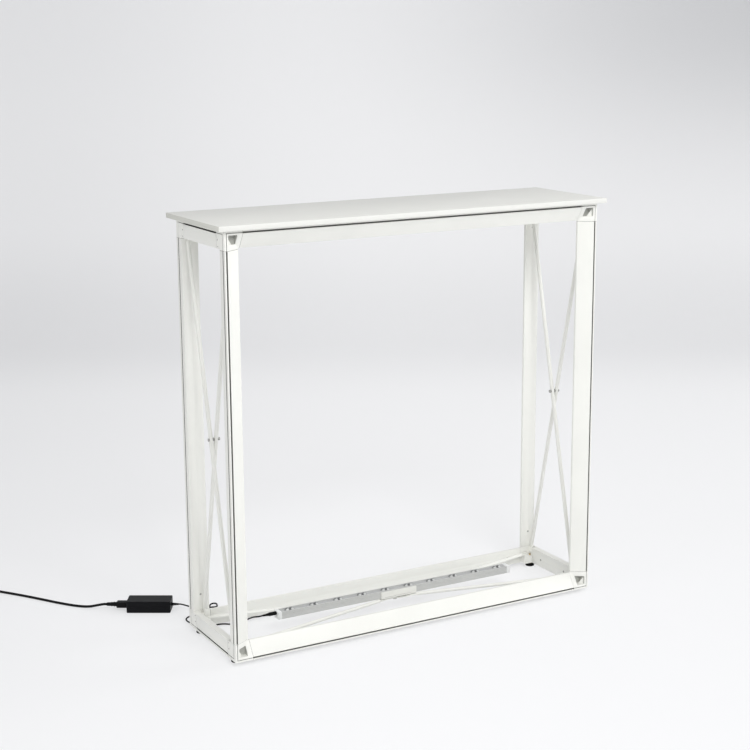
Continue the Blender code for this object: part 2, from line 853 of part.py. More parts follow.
def add_bottom_brace():
    across = FRAME_WIDTH / 2 - FLOOR_BRACE_PLACE[0]
    back = FRAME_DEPTH / 2 - FLOOR_BRACE_PLACE[1]
    half_length = math.hypot(across, back)
    turn = math.atan2(back, across)
    half_width = FLOOR_BRACE_WIDTH / 2
    end = half_length - FLAT_LENGTH
    necks = [
        (-end, (CLIP_CENTRE - CLIP_LENGTH / 2) / math.cos(turn)),
        ((CLIP_CENTRE + CLIP_LENGTH / 2) / math.cos(turn), end),
    ]
    plan = [(b, a) for a, b in flat_outline(half_length, half_width, necks)]
    hub_hole = circle((0, 0), HUB_RADIUS + SEAT, ROD_SIDES)
    flat = prism([plan, hub_hole], 0, FLOOR_BRACE_THICKNESS)
    tall = prism([plan, hub_hole], -PEG_LENGTH, FLOOR_BRACE_THICKNESS + OVERRUN)
    low_part = half_width * across / back + JOGGLE_MARGIN
    bent = combined(
        prism(
            [joggle_outline(half_length, low_part)], -FLOOR_BRACE_WIDTH, FLOOR_BRACE_WIDTH, "y"
        ),
        [("INTERSECT", tall)],
    )
    raised = Matrix.Translation((0, 0, FLOOR_BRACE_THICKNESS / 2))
    added = [moved(tube, raised) for tube in brace_tubes(FLOOR_BRACE_RADIUS, necks, "x")]
    added += [
        rod((place, 0), PEG_RADIUS, -PEG_LENGTH, FLOOR_BRACE_THICKNESS / 2)
        for place in (-half_length, half_length)
    ]
    for name, mesh, angle in (("upper", flat, turn), ("lower", bent, -turn)):
        add_part(
            f"bottom_brace_{name}",
            joined(mesh, [piece.copy() for piece in added]),
            WHITE_PAINT,
            (0, 0, BRACE_LEVEL),
            (0, 0, angle),
        )
    head = LOW_BRACE_LEVEL - SEAT
    hub = turned(
        [
            (0, head - HUB_HEAD_HEIGHT),
            (HUB_HEAD_RADIUS, head - HUB_HEAD_HEIGHT),
            (HUB_HEAD_RADIUS, head),
            (HUB_RADIUS, head),
            (HUB_RADIUS, WASHER_LEVEL),
            (HUB_WASHER_RADIUS, WASHER_LEVEL),
            (HUB_WASHER_RADIUS, WASHER_LEVEL + HUB_WASHER_HEIGHT),
            (HUB_SPIGOT_RADIUS, WASHER_LEVEL + HUB_WASHER_HEIGHT),
            (HUB_SPIGOT_RADIUS, CLIP_LEVEL + CLIP_BASE - SEAT),
            (0, CLIP_LEVEL + CLIP_BASE - SEAT),
        ]
    )
    add_part("bottom_brace_hub", hub, STEEL)


# Light


def housing_outline():
    """Cross-section of the light in y and z, with fine ridges on both sides and a tray on top."""
    half = LIGHT_WIDTH / 2
    right = []
    for share in RIDGE_SHARES:
        middle = share * LIGHT_HEIGHT
        right += [
            (half, middle - RIDGE_WIDTH / 2),
            (half - RIDGE_DEPTH, middle),
            (half, middle + RIDGE_WIDTH / 2),
        ]
    rim = half - LIGHT_WALL
    right = [(half, 0), *right, (half, LIGHT_HEIGHT), (rim, LIGHT_HEIGHT), (rim, TRAY_LEVEL)]
    return right + [(-y, z) for y, z in reversed(right)]


def housing_hollow(inset=0):
    half = LIGHT_WIDTH / 2 - LIGHT_WALL - inset
    low = LIGHT_WALL + inset
    return rectangle((-half, low), (half, TRAY_LEVEL - low))


def lens_strip(start, end, half):
    """The moulded strip: ten lenses of two domes each on one thin base."""
    profile = [(LENS_LOBE * radius, LENS_HEIGHT * height) for radius, height in DOME_SHARES]
    dome = turned(profile, sides=LOBE_SIDES)
    base = box((start, -half, 0), (end, half, LENS_STRIP_THICKNESS))
    domes = []
    for index in range(LENS_COUNT):
        centre = (index - (LENS_COUNT - 1) / 2) * LENS_PITCH
        for lobe in (-1, 1):
            x = centre + lobe * LENS_LOBE_SPACING / 2
            domes.append(moved(dome, Matrix.Translation((x, 0, LENS_STRIP_THICKNESS / 2))))
    return joined(base, domes)


def light_cap(with_socket):
    """End cap from its inner face outward along x, with a spigot for the housing's hollow."""
    half = LIGHT_WIDTH / 2
    block = bevelled(
        box((0, -half, 0), (CAP_LENGTH, half, LIGHT_HEIGHT)),
        CAP_EDGE,
        2,
        lambda place: place.x > CAP_LENGTH / 2,
    )
    spigot = prism([housing_hollow(SEAT)], -CAP_SPIGOT, CAP_LENGTH / 2, "x")
    cap = joined(block, [spigot])
    if not with_socket:
        return cap
    bore = rod(
        (0, SOCKET_HEIGHT),
        PLUG_BARREL + SEAT,
        CAP_LENGTH - SOCKET_DEPTH,
        CAP_LENGTH + OVERRUN,
        "x",
    )
    return cut(cap, [bore])


def light_clip():
    """U-shaped clip, with its base on the hub and a slit along the foot of each wall."""
    inner = LIGHT_WIDTH / 2 + SEAT
    outer = inner + CLIP_WALL
    top = CLIP_BASE + CLIP_HEIGHT
    outline = [
        (-outer, 0),
        (outer, 0),
        (outer, top),
        (inner, top),
        (inner, CLIP_BASE),
        (-inner, CLIP_BASE),
        (-inner, top),
        (-outer, top),
    ]
    half = CLIP_LENGTH / 2
    clip = prism([outline], CLIP_CENTRE - half, CLIP_CENTRE + half, "x")
    slit_low = CLIP_BASE + CLIP_WALL
    slit = box(
        (CLIP_CENTRE - CLIP_SLIT_LENGTH / 2, -outer - OVERRUN, slit_low),
        (CLIP_CENTRE + CLIP_SLIT_LENGTH / 2, outer + OVERRUN, slit_low + CLIP_SLIT),
    )
    hole = rod((0, 0), HUB_SPIGOT_RADIUS + SEAT, -OVERRUN, CLIP_BASE + OVERRUN)
    return cut(clip, [slit, hole])


def add_light():
    half_length = LIGHT_LENGTH / 2
    inner = LIGHT_WIDTH / 2 - LIGHT_WALL - SEAT
    add_part("light_clip", light_clip(), WHITE_PAINT, (0, 0, CLIP_LEVEL))
    housing = prism([housing_outline(), housing_hollow()], -half_length, half_length, "x")
    add_part("light_housing", housing, ALUMINIUM, (LIGHT_CENTRE, 0, LIGHT_LEVEL))
    circuit_level = LIGHT_LEVEL + TRAY_LEVEL + SEAT
    circuit = box((-half_length, -inner, 0), (half_length, inner, CIRCUIT_THICKNESS))
    add_part("light_circuit", circuit, GREEN_LAMINATE, (LIGHT_CENTRE, 0, circuit_level))
    lens_level = circuit_level + CIRCUIT_THICKNESS + SEAT
    strip = lens_strip(-half_length, half_length, inner)
    add_part("light_lenses", strip, CLEAR_PLASTIC, (LIGHT_CENTRE, 0, lens_level))
    for side_name, side in SIDES.items():
        add_part(
            f"light_cap_{side_name}",
            moved(light_cap(side_name == "left"), Matrix.Diagonal((side, 1, 1, 1))),
            WHITE_PLASTIC,
            (LIGHT_CENTRE + side * (half_length + SEAT), 0, LIGHT_LEVEL),
        )


# Feet, board and pegs


def add_feet():
    bore = STUD_SHAFT_RADIUS + SEAT
    floor_of_bore = PAD_HEIGHT - PAD_BORE_DEPTH
    pad = turned(
        [
            (0, 0),
            (PAD_RADIUS - PAD_EDGE, 0),
            (PAD_RADIUS, PAD_EDGE),
            (PAD_RADIUS, PAD_HEIGHT - PAD_EDGE),
            (PAD_RADIUS - PAD_EDGE, PAD_HEIGHT),
            (bore, PAD_HEIGHT),
            (bore, floor_of_bore),
            (0, floor_of_bore),
        ],
        sides=PAD_SIDES,
    )
    stud = turned(
        [
            (0, floor_of_bore + SEAT),
            (STUD_SHAFT_RADIUS, floor_of_bore + SEAT),
            (STUD_SHAFT_RADIUS, PAD_HEIGHT + SEAT),
            (COLLAR_RADIUS, PAD_HEIGHT + SEAT),
            (COLLAR_RADIUS, FLOOR_CLEARANCE - SEAT),
            (STUD_SHAFT_RADIUS, FLOOR_CLEARANCE - SEAT),
            (STUD_SHAFT_RADIUS, FOOT_STUD_TOP - PAD_EDGE),
            (STUD_SHAFT_RADIUS - PAD_EDGE, FOOT_STUD_TOP),
            (0, FOOT_STUD_TOP),
        ],
        "z",
        ROD_SIDES,
    )
    for face_name, face in FACES.items():
        for side_name, side in SIDES.items():
            place = (
                side * (FRAME_WIDTH / 2 - FOOT_PLACE[0]),
                face * (FRAME_DEPTH / 2 - FOOT_PLACE[1]),
                0,
            )
            corner = f"{face_name}_{side_name}"
            add_part(f"foot_pad_{corner}", pad.copy(), BLACK_RUBBER, place)
            add_part(f"foot_stud_{corner}", stud.copy(), BRASS, place)


def add_board():
    """The board, with a blind bore in its underside over each top corner."""
    half_x = FRAME_WIDTH / 2 + BOARD_END_OVERHANG
    half_y = FRAME_DEPTH / 2 + BOARD_SIDE_OVERHANG
    slab = bevelled(
        box((-half_x, -half_y, 0), (half_x, half_y, BOARD_THICKNESS)),
        BOARD_EDGE,
        2,
        lambda place: True,
    )
    level = FRAME_TOP + BOARD_GAP
    places = [
        (
            side * (FRAME_WIDTH / 2 - FOOT_PLACE[0]),
            face * (FRAME_DEPTH / 2 - FOOT_PLACE[1]),
        )
        for face in FACES.values()
        for side in SIDES.values()
    ]
    bores = [rod(place, STUD_SHAFT_RADIUS + SEAT, -OVERRUN, BOARD_PEG_DEPTH) for place in places]
    add_part("counter_top", cut(slab, bores), WHITE_BOARD, (0, 0, level))
    peg = turned(
        [
            (0, -BOARD_PEG_LENGTH),
            (STUD_SHAFT_RADIUS - PAD_EDGE, -BOARD_PEG_LENGTH),
            (STUD_SHAFT_RADIUS, PAD_EDGE - BOARD_PEG_LENGTH),
            (STUD_SHAFT_RADIUS, SEAT),
            (BOARD_PEG_COLLAR, SEAT),
            (BOARD_PEG_COLLAR, BOARD_GAP - SEAT),
            (STUD_SHAFT_RADIUS, BOARD_GAP - SEAT),
            (STUD_SHAFT_RADIUS, BOARD_GAP + BOARD_PEG_DEPTH - SEAT),
            (0, BOARD_GAP + BOARD_PEG_DEPTH - SEAT),
        ]
    )
    names = [f"{face_name}_{side_name}" for face_name in FACES for side_name in SIDES]
    for name, place in zip(names, places):
        add_part(f"board_peg_{name}", peg.copy(), WHITE_PLASTIC, (*place, FRAME_TOP))


# Leads


def ribbed_taper(start, length, thick, cord_radius, ribs):
    """Profile of a strain relief: ribs that get thinner towards the cord."""
    thin = RELIEF_THIN_SHARE * cord_radius
    step = length / ribs
    profile = []
    for index in range(ribs):
        radius = thick + (thin - thick) * index / ribs
        low = start + index * step
        profile += [(radius, low), (radius, low + step / 2), ((radius + thin) / 2, low + step / 2)]
        profile.append(((radius + thin) / 2, low + step))
    return profile


def smooth_points(route, spacing):
    """Points at even steps along a smooth curve through the route. Its first and last runs are straight."""
    points = np.array(route, float)
    share = np.linspace(0, 1, CURVE_STEPS, endpoint=False)[:, None]
    pieces = []
    for before, first, second, after in zip(points, points[1:], points[2:], points[3:]):
        pieces.append(
            first
            + 0.5 * share * (second - before)
            + share**2 * (before - 2.5 * first + 2 * second - 0.5 * after)
            + share**3 * (1.5 * (first - second) + 0.5 * (after - before))
        )
    curve = np.vstack((*pieces, points[-2:-1]))
    run = np.concatenate(([0], np.cumsum(np.linalg.norm(np.diff(curve, axis=0), axis=1))))
    count = max(2, round(run[-1] / spacing))
    wanted = np.linspace(0, run[-1], count + 1)
    middle = np.column_stack([np.interp(wanted, run, curve[:, axis]) for axis in range(3)])
    return np.vstack((points[:1], middle, points[-1:]))


def add_tube(name, points, radius, resolution, finish):
    data = bpy.data.curves.new(name, "CURVE")
    data.dimensions = "3D"
    data.bevel_depth = radius
    data.bevel_resolution = resolution
    data.use_fill_caps = True
    spline = data.splines.new("POLY")
    spline.points.add(len(points) - 1)
    for point, place in zip(spline.points, points):
        point.co = (*place, 1)
    tube = bpy.data.objects.new(name, data)
    bpy.context.scene.collection.objects.link(tube)
    give_finish(data, name, finish)
    length = float(np.linalg.norm(np.diff(points, axis=0), axis=1).sum())
    print(f"{name}: {len(points)} points, {length:.3f} m")
    return tube


def supply_point(along, height):
    """World place of a point on the power supply's long axis."""
    return (
        SUPPLY_PLACE[0] + along * math.cos(SUPPLY_TURN),
        SUPPLY_PLACE[1] + along * math.sin(SUPPLY_TURN),
        height,
    )


def add_lead():
    """The lead's plug in the left end cap, and the lead on its way to the power supply."""
    mouth = LIGHT_CENTRE - LIGHT_LENGTH / 2 - SEAT - CAP_LENGTH
    level = LIGHT_LEVEL + SOCKET_HEIGHT
    plug = turned(
        [
            (0, SEAT - SOCKET_DEPTH),
            (PLUG_BARREL, SEAT - SOCKET_DEPTH),
            (PLUG_BARREL, SEAT),
            (PLUG_RADIUS - PAD_EDGE, SEAT),
            (PLUG_RADIUS, SEAT + PAD_EDGE),
            (PLUG_RADIUS, PLUG_LENGTH - PAD_EDGE),
            *ribbed_taper(
                PLUG_LENGTH, RELIEF_LENGTH, PLUG_RADIUS - PAD_EDGE, LEAD_RADIUS, RELIEF_RIBS
            ),
            (0, PLUG_LENGTH + RELIEF_LENGTH),
        ]
    )
    add_part(
        "lead_plug",
        plug,
        BLACK_PLASTIC,
        (mouth, 0, level),
        (0, -math.pi / 2, 0),
    )
    exit_x = mouth - PLUG_LENGTH - RELIEF_LENGTH - SEAT
    outlet = SUPPLY_LENGTH / 2 + OUTLET_RELIEF_LENGTH + SEAT
    arrival = supply_point(outlet, SUPPLY_MIDDLE)
    before = supply_point(outlet + 2 * LEAD_RADIUS, SUPPLY_MIDDLE)
    route = [
        (exit_x, 0, level),
        (exit_x - 2 * LEAD_RADIUS, 0, level),
        (-0.376, 0.007, 0.0515),
        (-0.380, 0.020, 0.047),
        (-0.381, 0.037, 0.039),
        (-0.381, 0.056, 0.029),
        (-0.383, 0.076, 0.015),
        (-0.390, 0.094, 0.005),
        (-0.403, 0.110, 0.0020),
        (-0.418, 0.121, 0.0020),
        (-0.437, 0.126, 0.0020),
        (-0.460, 0.136, 0.0020),
        (-0.479, 0.154, 0.0020),
        (-0.487, 0.176, 0.0020),
        (-0.485, 0.197, 0.0020),
        (-0.469, 0.211, 0.0020),
        (-0.444, 0.219, 0.0020),
        (-0.420, 0.228, 0.0020),
        (-0.402, 0.245, 0.0020),
        (-0.388, 0.263, 0.0020),
        (-0.379, 0.262, 0.0020),
        (-0.380, 0.247, 0.0024),
        (-0.388, 0.234, 0.0040),
        (-0.402, 0.231, 0.0062),
        (-0.420, 0.236, 0.0056),
        (-0.438, 0.247, 0.0058),
        (-0.451, 0.257, 0.0090),
        before,
        arrival,
    ]
    points = smooth_points(route, LEAD_SPACING_SHARE * LEAD_RADIUS)
    add_tube("lead_cord", points, LEAD_RADIUS, 2, BLACK_RUBBER)


def supply_shell(low, high):
    """Half of the power supply's case between two heights, rounded on its outer edges."""
    half_x = SUPPLY_LENGTH / 2
    half_y = SUPPLY_WIDTH / 2
    outline = rounded_rectangle((-half_x, -half_y), (half_x, half_y), SUPPLY_CORNER)
    shell = prism([outline], low, high)
    outer = low if low < SUPPLY_MIDDLE else high
    return bevelled(shell, SUPPLY_EDGE, 2, lambda place: abs(place.z - outer) < MERGE)


def add_power_supply():
    holder = bpy.data.objects.new("power_supply", None)
    bpy.context.scene.collection.objects.link(holder)
    holder.location = (*SUPPLY_PLACE, 0)
    holder.rotation_euler = (0, 0, SUPPLY_TURN)
    end = SUPPLY_LENGTH / 2
    half_w = INLET_WIDTH / 2
    half_h = INLET_HEIGHT / 2
    openings = [
        rod(
            (0, SUPPLY_MIDDLE),
            OUTLET_RADIUS + SEAT,
            end - OUTLET_DEPTH,
            end + OVERRUN,
            "x",
        ),
        prism(
            [
                rectangle(
                    (-half_w - SEAT, SUPPLY_MIDDLE - half_h - SEAT),
                    (half_w + SEAT, SUPPLY_MIDDLE + half_h + SEAT),
                )
            ],
            -end - OVERRUN,
            INLET_DEPTH - end,
            "x",
        ),
    ]
    seam = SEAT / 2
    for name, low, high in (
        ("lower", 0, SUPPLY_MIDDLE - seam),
        ("upper", SUPPLY_MIDDLE + seam, SUPPLY_HEIGHT),
    ):
        shell = cut(supply_shell(low, high), [opening.copy() for opening in openings])
        add_part(f"power_supply_{name}", shell, BLACK_PLASTIC, parent=holder)
    relief = turned(
        [
            (0, SEAT - OUTLET_DEPTH),
            (OUTLET_RADIUS, SEAT - OUTLET_DEPTH),
            (OUTLET_RADIUS, SEAT),
            *ribbed_taper(
                SEAT,
                OUTLET_RELIEF_LENGTH - SEAT,
                OUTLET_RADIUS + PAD_EDGE,
                LEAD_RADIUS,
                RELIEF_RIBS,
            ),
            (0, OUTLET_RELIEF_LENGTH),
        ],
        "x",
    )
    add_part(
        "power_lead_relief",
        relief,
        BLACK_RUBBER,
        (end, 0, SUPPLY_MIDDLE),
        parent=holder,
    )
    add_part(
        "mains_connector",
        mains_connector(),
        BLACK_PLASTIC,
        (-end, 0, SUPPLY_MIDDLE),
        (0, 0, math.pi),
        holder,
    )


def mains_connector():
    """Cord connector along x: a nose in the inlet, a grip, and a ribbed strain relief."""
    half_w = CONNECTOR_WIDTH / 2
    half_h = CONNECTOR_HEIGHT / 2
    grip = bevelled(
        box((SEAT, -half_w, -half_h), (CONNECTOR_LENGTH, half_w, half_h)),
        CONNECTOR_CORNER,
        2,
        lambda place: True,
    )
    nose = box(
        (SEAT - INLET_DEPTH, -INLET_WIDTH / 2, -INLET_HEIGHT / 2),
        (CONNECTOR_CORNER + SEAT, INLET_WIDTH / 2, INLET_HEIGHT / 2),
    )
    start = CONNECTOR_LENGTH - CONNECTOR_CORNER
    relief = turned(
        [
            (0, start),
            *ribbed_taper(
                start,
                MAINS_RELIEF_LENGTH + CONNECTOR_CORNER,
                half_h - PAD_EDGE,
                MAINS_RADIUS,
                RELIEF_RIBS,
            ),
            (0, CONNECTOR_LENGTH + MAINS_RELIEF_LENGTH),
        ],
        "x",
    )
    return joined(grip, [nose, relief])


def coil_points():
    """The coil spirals in on the lower layer and out again on the upper one, with straight ends."""
    middle = COIL_TURNS / 2
    points = []
    for step in range(COIL_TURNS * COIL_STEPS + 1):
        turn = step / COIL_STEPS
        angle = COIL_START + turn * math.tau
        radius = COIL_INNER_RADIUS + COIL_PITCH * abs(turn - middle)
        share = min(1, max(0, (turn - middle + COIL_CLIMB_SHARE) / (2 * COIL_CLIMB_SHARE)))
        points.append(
            (
                COIL_PLACE[0] + radius * math.cos(angle),
                COIL_PLACE[1] + radius * math.sin(angle),
                COIL_LEVEL + COIL_PITCH * share,
            )
        )
    way = Vector((-math.sin(COIL_START), math.cos(COIL_START), 0))
    first = Vector(points[0]) - 2 * MAINS_RADIUS * way
    last = Vector(points[-1]) + 2 * MAINS_RADIUS * way
    return [tuple(first), *points, tuple(last)], way


def least_gap(points, radius):
    """Least gap between turns of a tube that lie more than half a turn apart."""
    places = np.array(points)
    run = np.concatenate(([0], np.cumsum(np.linalg.norm(np.diff(places, axis=0), axis=1))))
    apart = np.linalg.norm(places[:, None] - places[None, :], axis=2)
    far = np.abs(run[:, None] - run[None, :]) > math.pi * COIL_INNER_RADIUS
    return float(apart[far].min()) - 2 * radius


def tie_ring():
    """Band round the turns of the coil, made at the origin with the turns running along y."""
    turns = COIL_TURNS / 2
    half = COIL_PITCH * (turns - 1) / 2 + MAINS_RADIUS + TIE_EASE
    low = TIE_THICKNESS
    high = COIL_LEVEL + COIL_PITCH + MAINS_RADIUS + TIE_EASE
    inner = rounded_rectangle((-half, low), (half, high), TIE_THICKNESS)
    outer = rounded_rectangle(
        (-half - TIE_THICKNESS, 0), (half + TIE_THICKNESS, high + TIE_THICKNESS), 2 * TIE_THICKNESS
    )
    return prism([outer, inner], -TIE_WIDTH / 2, TIE_WIDTH / 2, "y")


def mains_plug():
    """Plug along x from the cord's end: a relief, a flat grip and two round pins."""
    half_w = MAINS_PLUG_WIDTH / 2
    half_h = MAINS_PLUG_HEIGHT / 2
    relief_end = MAINS_RELIEF_LENGTH
    body = bevelled(
        box((relief_end, -half_w, -half_h), (relief_end + MAINS_PLUG_LENGTH, half_w, half_h)),
        MAINS_PLUG_CORNER,
        2,
        lambda place: True,
    )
    profile = ribbed_taper(
        -relief_end - MAINS_PLUG_CORNER,
        MAINS_RELIEF_LENGTH + MAINS_PLUG_CORNER,
        half_h - PAD_EDGE,
        MAINS_RADIUS,
        RELIEF_RIBS,
    )
    profile = [(0, -relief_end - MAINS_PLUG_CORNER), *profile, (0, 0)]
    relief = turned([(radius, -along) for radius, along in reversed(profile)], "x")
    face = relief_end + MAINS_PLUG_LENGTH
    pins = [
        rod(
            (side * PLUG_PIN_SPACING / 2, 0),
            PLUG_PIN_RADIUS,
            face - MAINS_PLUG_CORNER,
            face + PLUG_PIN_LENGTH,
            "x",
        )
        for side in SIDES.values()
    ]
    return joined(body, [relief, *pins])


def add_mains():
    turns, way = coil_points()
    add_tube("mains_coil", turns, MAINS_RADIUS, 1, BLACK_RUBBER)
    print(f"mains_coil: least gap to itself {1000 * least_gap(turns, MAINS_RADIUS):.2f} mm")
    tie_angle = COIL_START + math.pi
    tie_radius = COIL_INNER_RADIUS + COIL_PITCH * COIL_TURNS / 4
    add_part(
        "coil_tie",
        tie_ring(),
        BLACK_PLASTIC,
        (
            COIL_PLACE[0] + tie_radius * math.cos(tie_angle),
            COIL_PLACE[1] + tie_radius * math.sin(tie_angle),
            0,
        ),
        (0, 0, tie_angle),
    )
    leave = -SUPPLY_LENGTH / 2 - CONNECTOR_LENGTH - MAINS_RELIEF_LENGTH - SEAT
    route = [
        supply_point(leave, SUPPLY_MIDDLE),
        supply_point(leave - 2 * MAINS_RADIUS, SUPPLY_MIDDLE),
        (-0.654, 0.376, 0.0115),
        (-0.668, 0.391, 0.0062),
        (-0.687, 0.412, 0.0036),
        (-0.724, 0.459, 0.0034),
        (-0.752, 0.502, 0.0034),
        (-0.781, 0.546, 0.0034),
        (-0.807, 0.583, 0.0034),
        (-0.833, 0.618, 0.0036),
        tuple(Vector(turns[0]) - (SEAT + 2 * MAINS_RADIUS) * way),
        tuple(Vector(turns[0]) - SEAT * way),
    ]
    add_tube("mains_cord", smooth_points(route, 5 * MAINS_RADIUS), MAINS_RADIUS, 2, BLACK_RUBBER)
    start = Vector(turns[-1]) + SEAT * way
    plug_level = MAINS_PLUG_HEIGHT / 2
    end = start + TAIL_LENGTH * way
    end.z = plug_level
    straight = 2 * MAINS_RADIUS * way
    low = (start + end) / 2
    low.z = (start.z + 3 * plug_level) / 4
    tail = [tuple(start), tuple(start + straight), tuple(low), tuple(end - straight), tuple(end)]
    add_tube("mains_tail", smooth_points(tail, 4 * MAINS_RADIUS), MAINS_RADIUS, 2, BLACK_RUBBER)
    add_part(
        "mains_plug",
        mains_plug(),
        BLACK_PLASTIC,
        tuple(end + SEAT * way),
        (0, 0, math.atan2(way.y, way.x)),
    )


def main():
    clear_scene()
    add_frame()
    add_side_braces()
    add_bottom_brace()
    add_light()
    add_feet()
    add_board()
    add_lead()
    add_power_supply()
    add_mains()


main()
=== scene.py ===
"""Backlit exhibition counter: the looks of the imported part.

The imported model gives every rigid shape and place. This file softens its edges, gives each piece its
finish, lays the two leads and adds the small pieces that the solids leave out.
Everything is in metres: X along the counter, Y from front to back, Z up, the floor at zero.
"""

import json
import logging
import math
from dataclasses import dataclass, field
from enum import Enum
from itertools import product
from typing import Any, Callable, Iterable, Mapping, Sequence, Union

import bmesh
import bpy
from mathutils import Matrix, Vector

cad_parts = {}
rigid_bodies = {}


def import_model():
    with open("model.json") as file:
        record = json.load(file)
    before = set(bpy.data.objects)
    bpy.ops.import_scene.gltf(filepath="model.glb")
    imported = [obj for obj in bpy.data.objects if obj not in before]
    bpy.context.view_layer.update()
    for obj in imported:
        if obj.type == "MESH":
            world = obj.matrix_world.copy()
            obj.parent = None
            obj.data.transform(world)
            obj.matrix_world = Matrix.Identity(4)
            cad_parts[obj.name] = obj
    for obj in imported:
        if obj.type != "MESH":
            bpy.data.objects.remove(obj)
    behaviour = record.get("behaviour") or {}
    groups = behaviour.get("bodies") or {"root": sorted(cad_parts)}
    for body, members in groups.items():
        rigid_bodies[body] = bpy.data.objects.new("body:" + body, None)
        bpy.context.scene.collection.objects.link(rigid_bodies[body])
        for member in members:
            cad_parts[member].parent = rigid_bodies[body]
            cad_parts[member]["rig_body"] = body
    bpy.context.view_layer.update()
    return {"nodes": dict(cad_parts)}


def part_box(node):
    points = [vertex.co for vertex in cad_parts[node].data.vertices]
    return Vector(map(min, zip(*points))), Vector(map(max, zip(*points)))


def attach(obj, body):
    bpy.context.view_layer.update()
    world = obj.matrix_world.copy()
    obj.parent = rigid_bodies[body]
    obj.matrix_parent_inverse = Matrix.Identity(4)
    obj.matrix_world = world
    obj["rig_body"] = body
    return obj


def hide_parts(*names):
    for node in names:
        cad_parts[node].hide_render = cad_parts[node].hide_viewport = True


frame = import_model()
log = logging.getLogger("counter")

Colour = tuple[float, float, float]
Point = tuple[float, float, float]


class Named(Enum):
    """A choice between two ends of the counter, with its sign."""

    @property
    def word(self) -> str:
        """The choice as it stands in the nodes' names."""
        return self.name.lower()


class Side(Named):
    """Left or right of the counter, seen from the front."""

    LEFT = -1
    RIGHT = 1


class Face(Named):
    """Front or back frame."""

    FRONT = -1
    BACK = 1


class Level(Named):
    """Bottom or top of the counter."""

    BOTTOM = -1
    TOP = 1


CORNERS = tuple(product(Face, Side, Level))


# Shader graphs


class Value:
    """A socket's output that takes part in Python arithmetic, each step of which adds a Math node."""

    def __init__(self, graph: "Graph", socket: bpy.types.NodeSocket | None) -> None:
        """Wraps one output socket.

        Args:
            graph: The graph that holds the socket's node.
            socket: The output socket, or None for a node that has none.
        """
        self.graph = graph
        self.socket = socket

    def _math(self, operation: str, *terms: "Term") -> "Value":
        """One Math node.

        Args:
            operation: Blender's name of the operation.
            terms: The values or numbers that it takes, in order.

        Returns:
            The node's result.
        """
        return self.graph.node("ShaderNodeMath", {"operation": operation}, dict(enumerate(terms)))

    def __add__(self, other: "Term") -> "Value":
        """This plus other."""
        return self._math("ADD", self, other)

    def __radd__(self, other: "Term") -> "Value":
        """Other plus this."""
        return self._math("ADD", other, self)

    def __sub__(self, other: "Term") -> "Value":
        """This minus other."""
        return self._math("SUBTRACT", self, other)

    def __rsub__(self, other: "Term") -> "Value":
        """Other minus this."""
        return self._math("SUBTRACT", other, self)

    def __mul__(self, other: "Term") -> "Value":
        """This times other."""
        return self._math("MULTIPLY", self, other)

    def __rmul__(self, other: "Term") -> "Value":
        """Other times this."""
        return self._math("MULTIPLY", other, self)

    def most(self, other: "Term") -> "Value":
        """The greater of this and other."""
        return self._math("MAXIMUM", self, other)

    def step(self, low: float, high: float) -> "Value":
        """A soft step from zero at low to one at high.

        Args:
            low: Where the step starts.
            high: Where the step ends.

        Returns:
            The step's height.
        """
        return self.graph.node(
            "ShaderNodeMapRange",
            {"interpolation_type": "SMOOTHSTEP"},
            {"Value": self, "From Min": low, "From Max": high, "To Min": 0.0, "To Max": 1.0},
        )


Term = Union[Value, float, int]


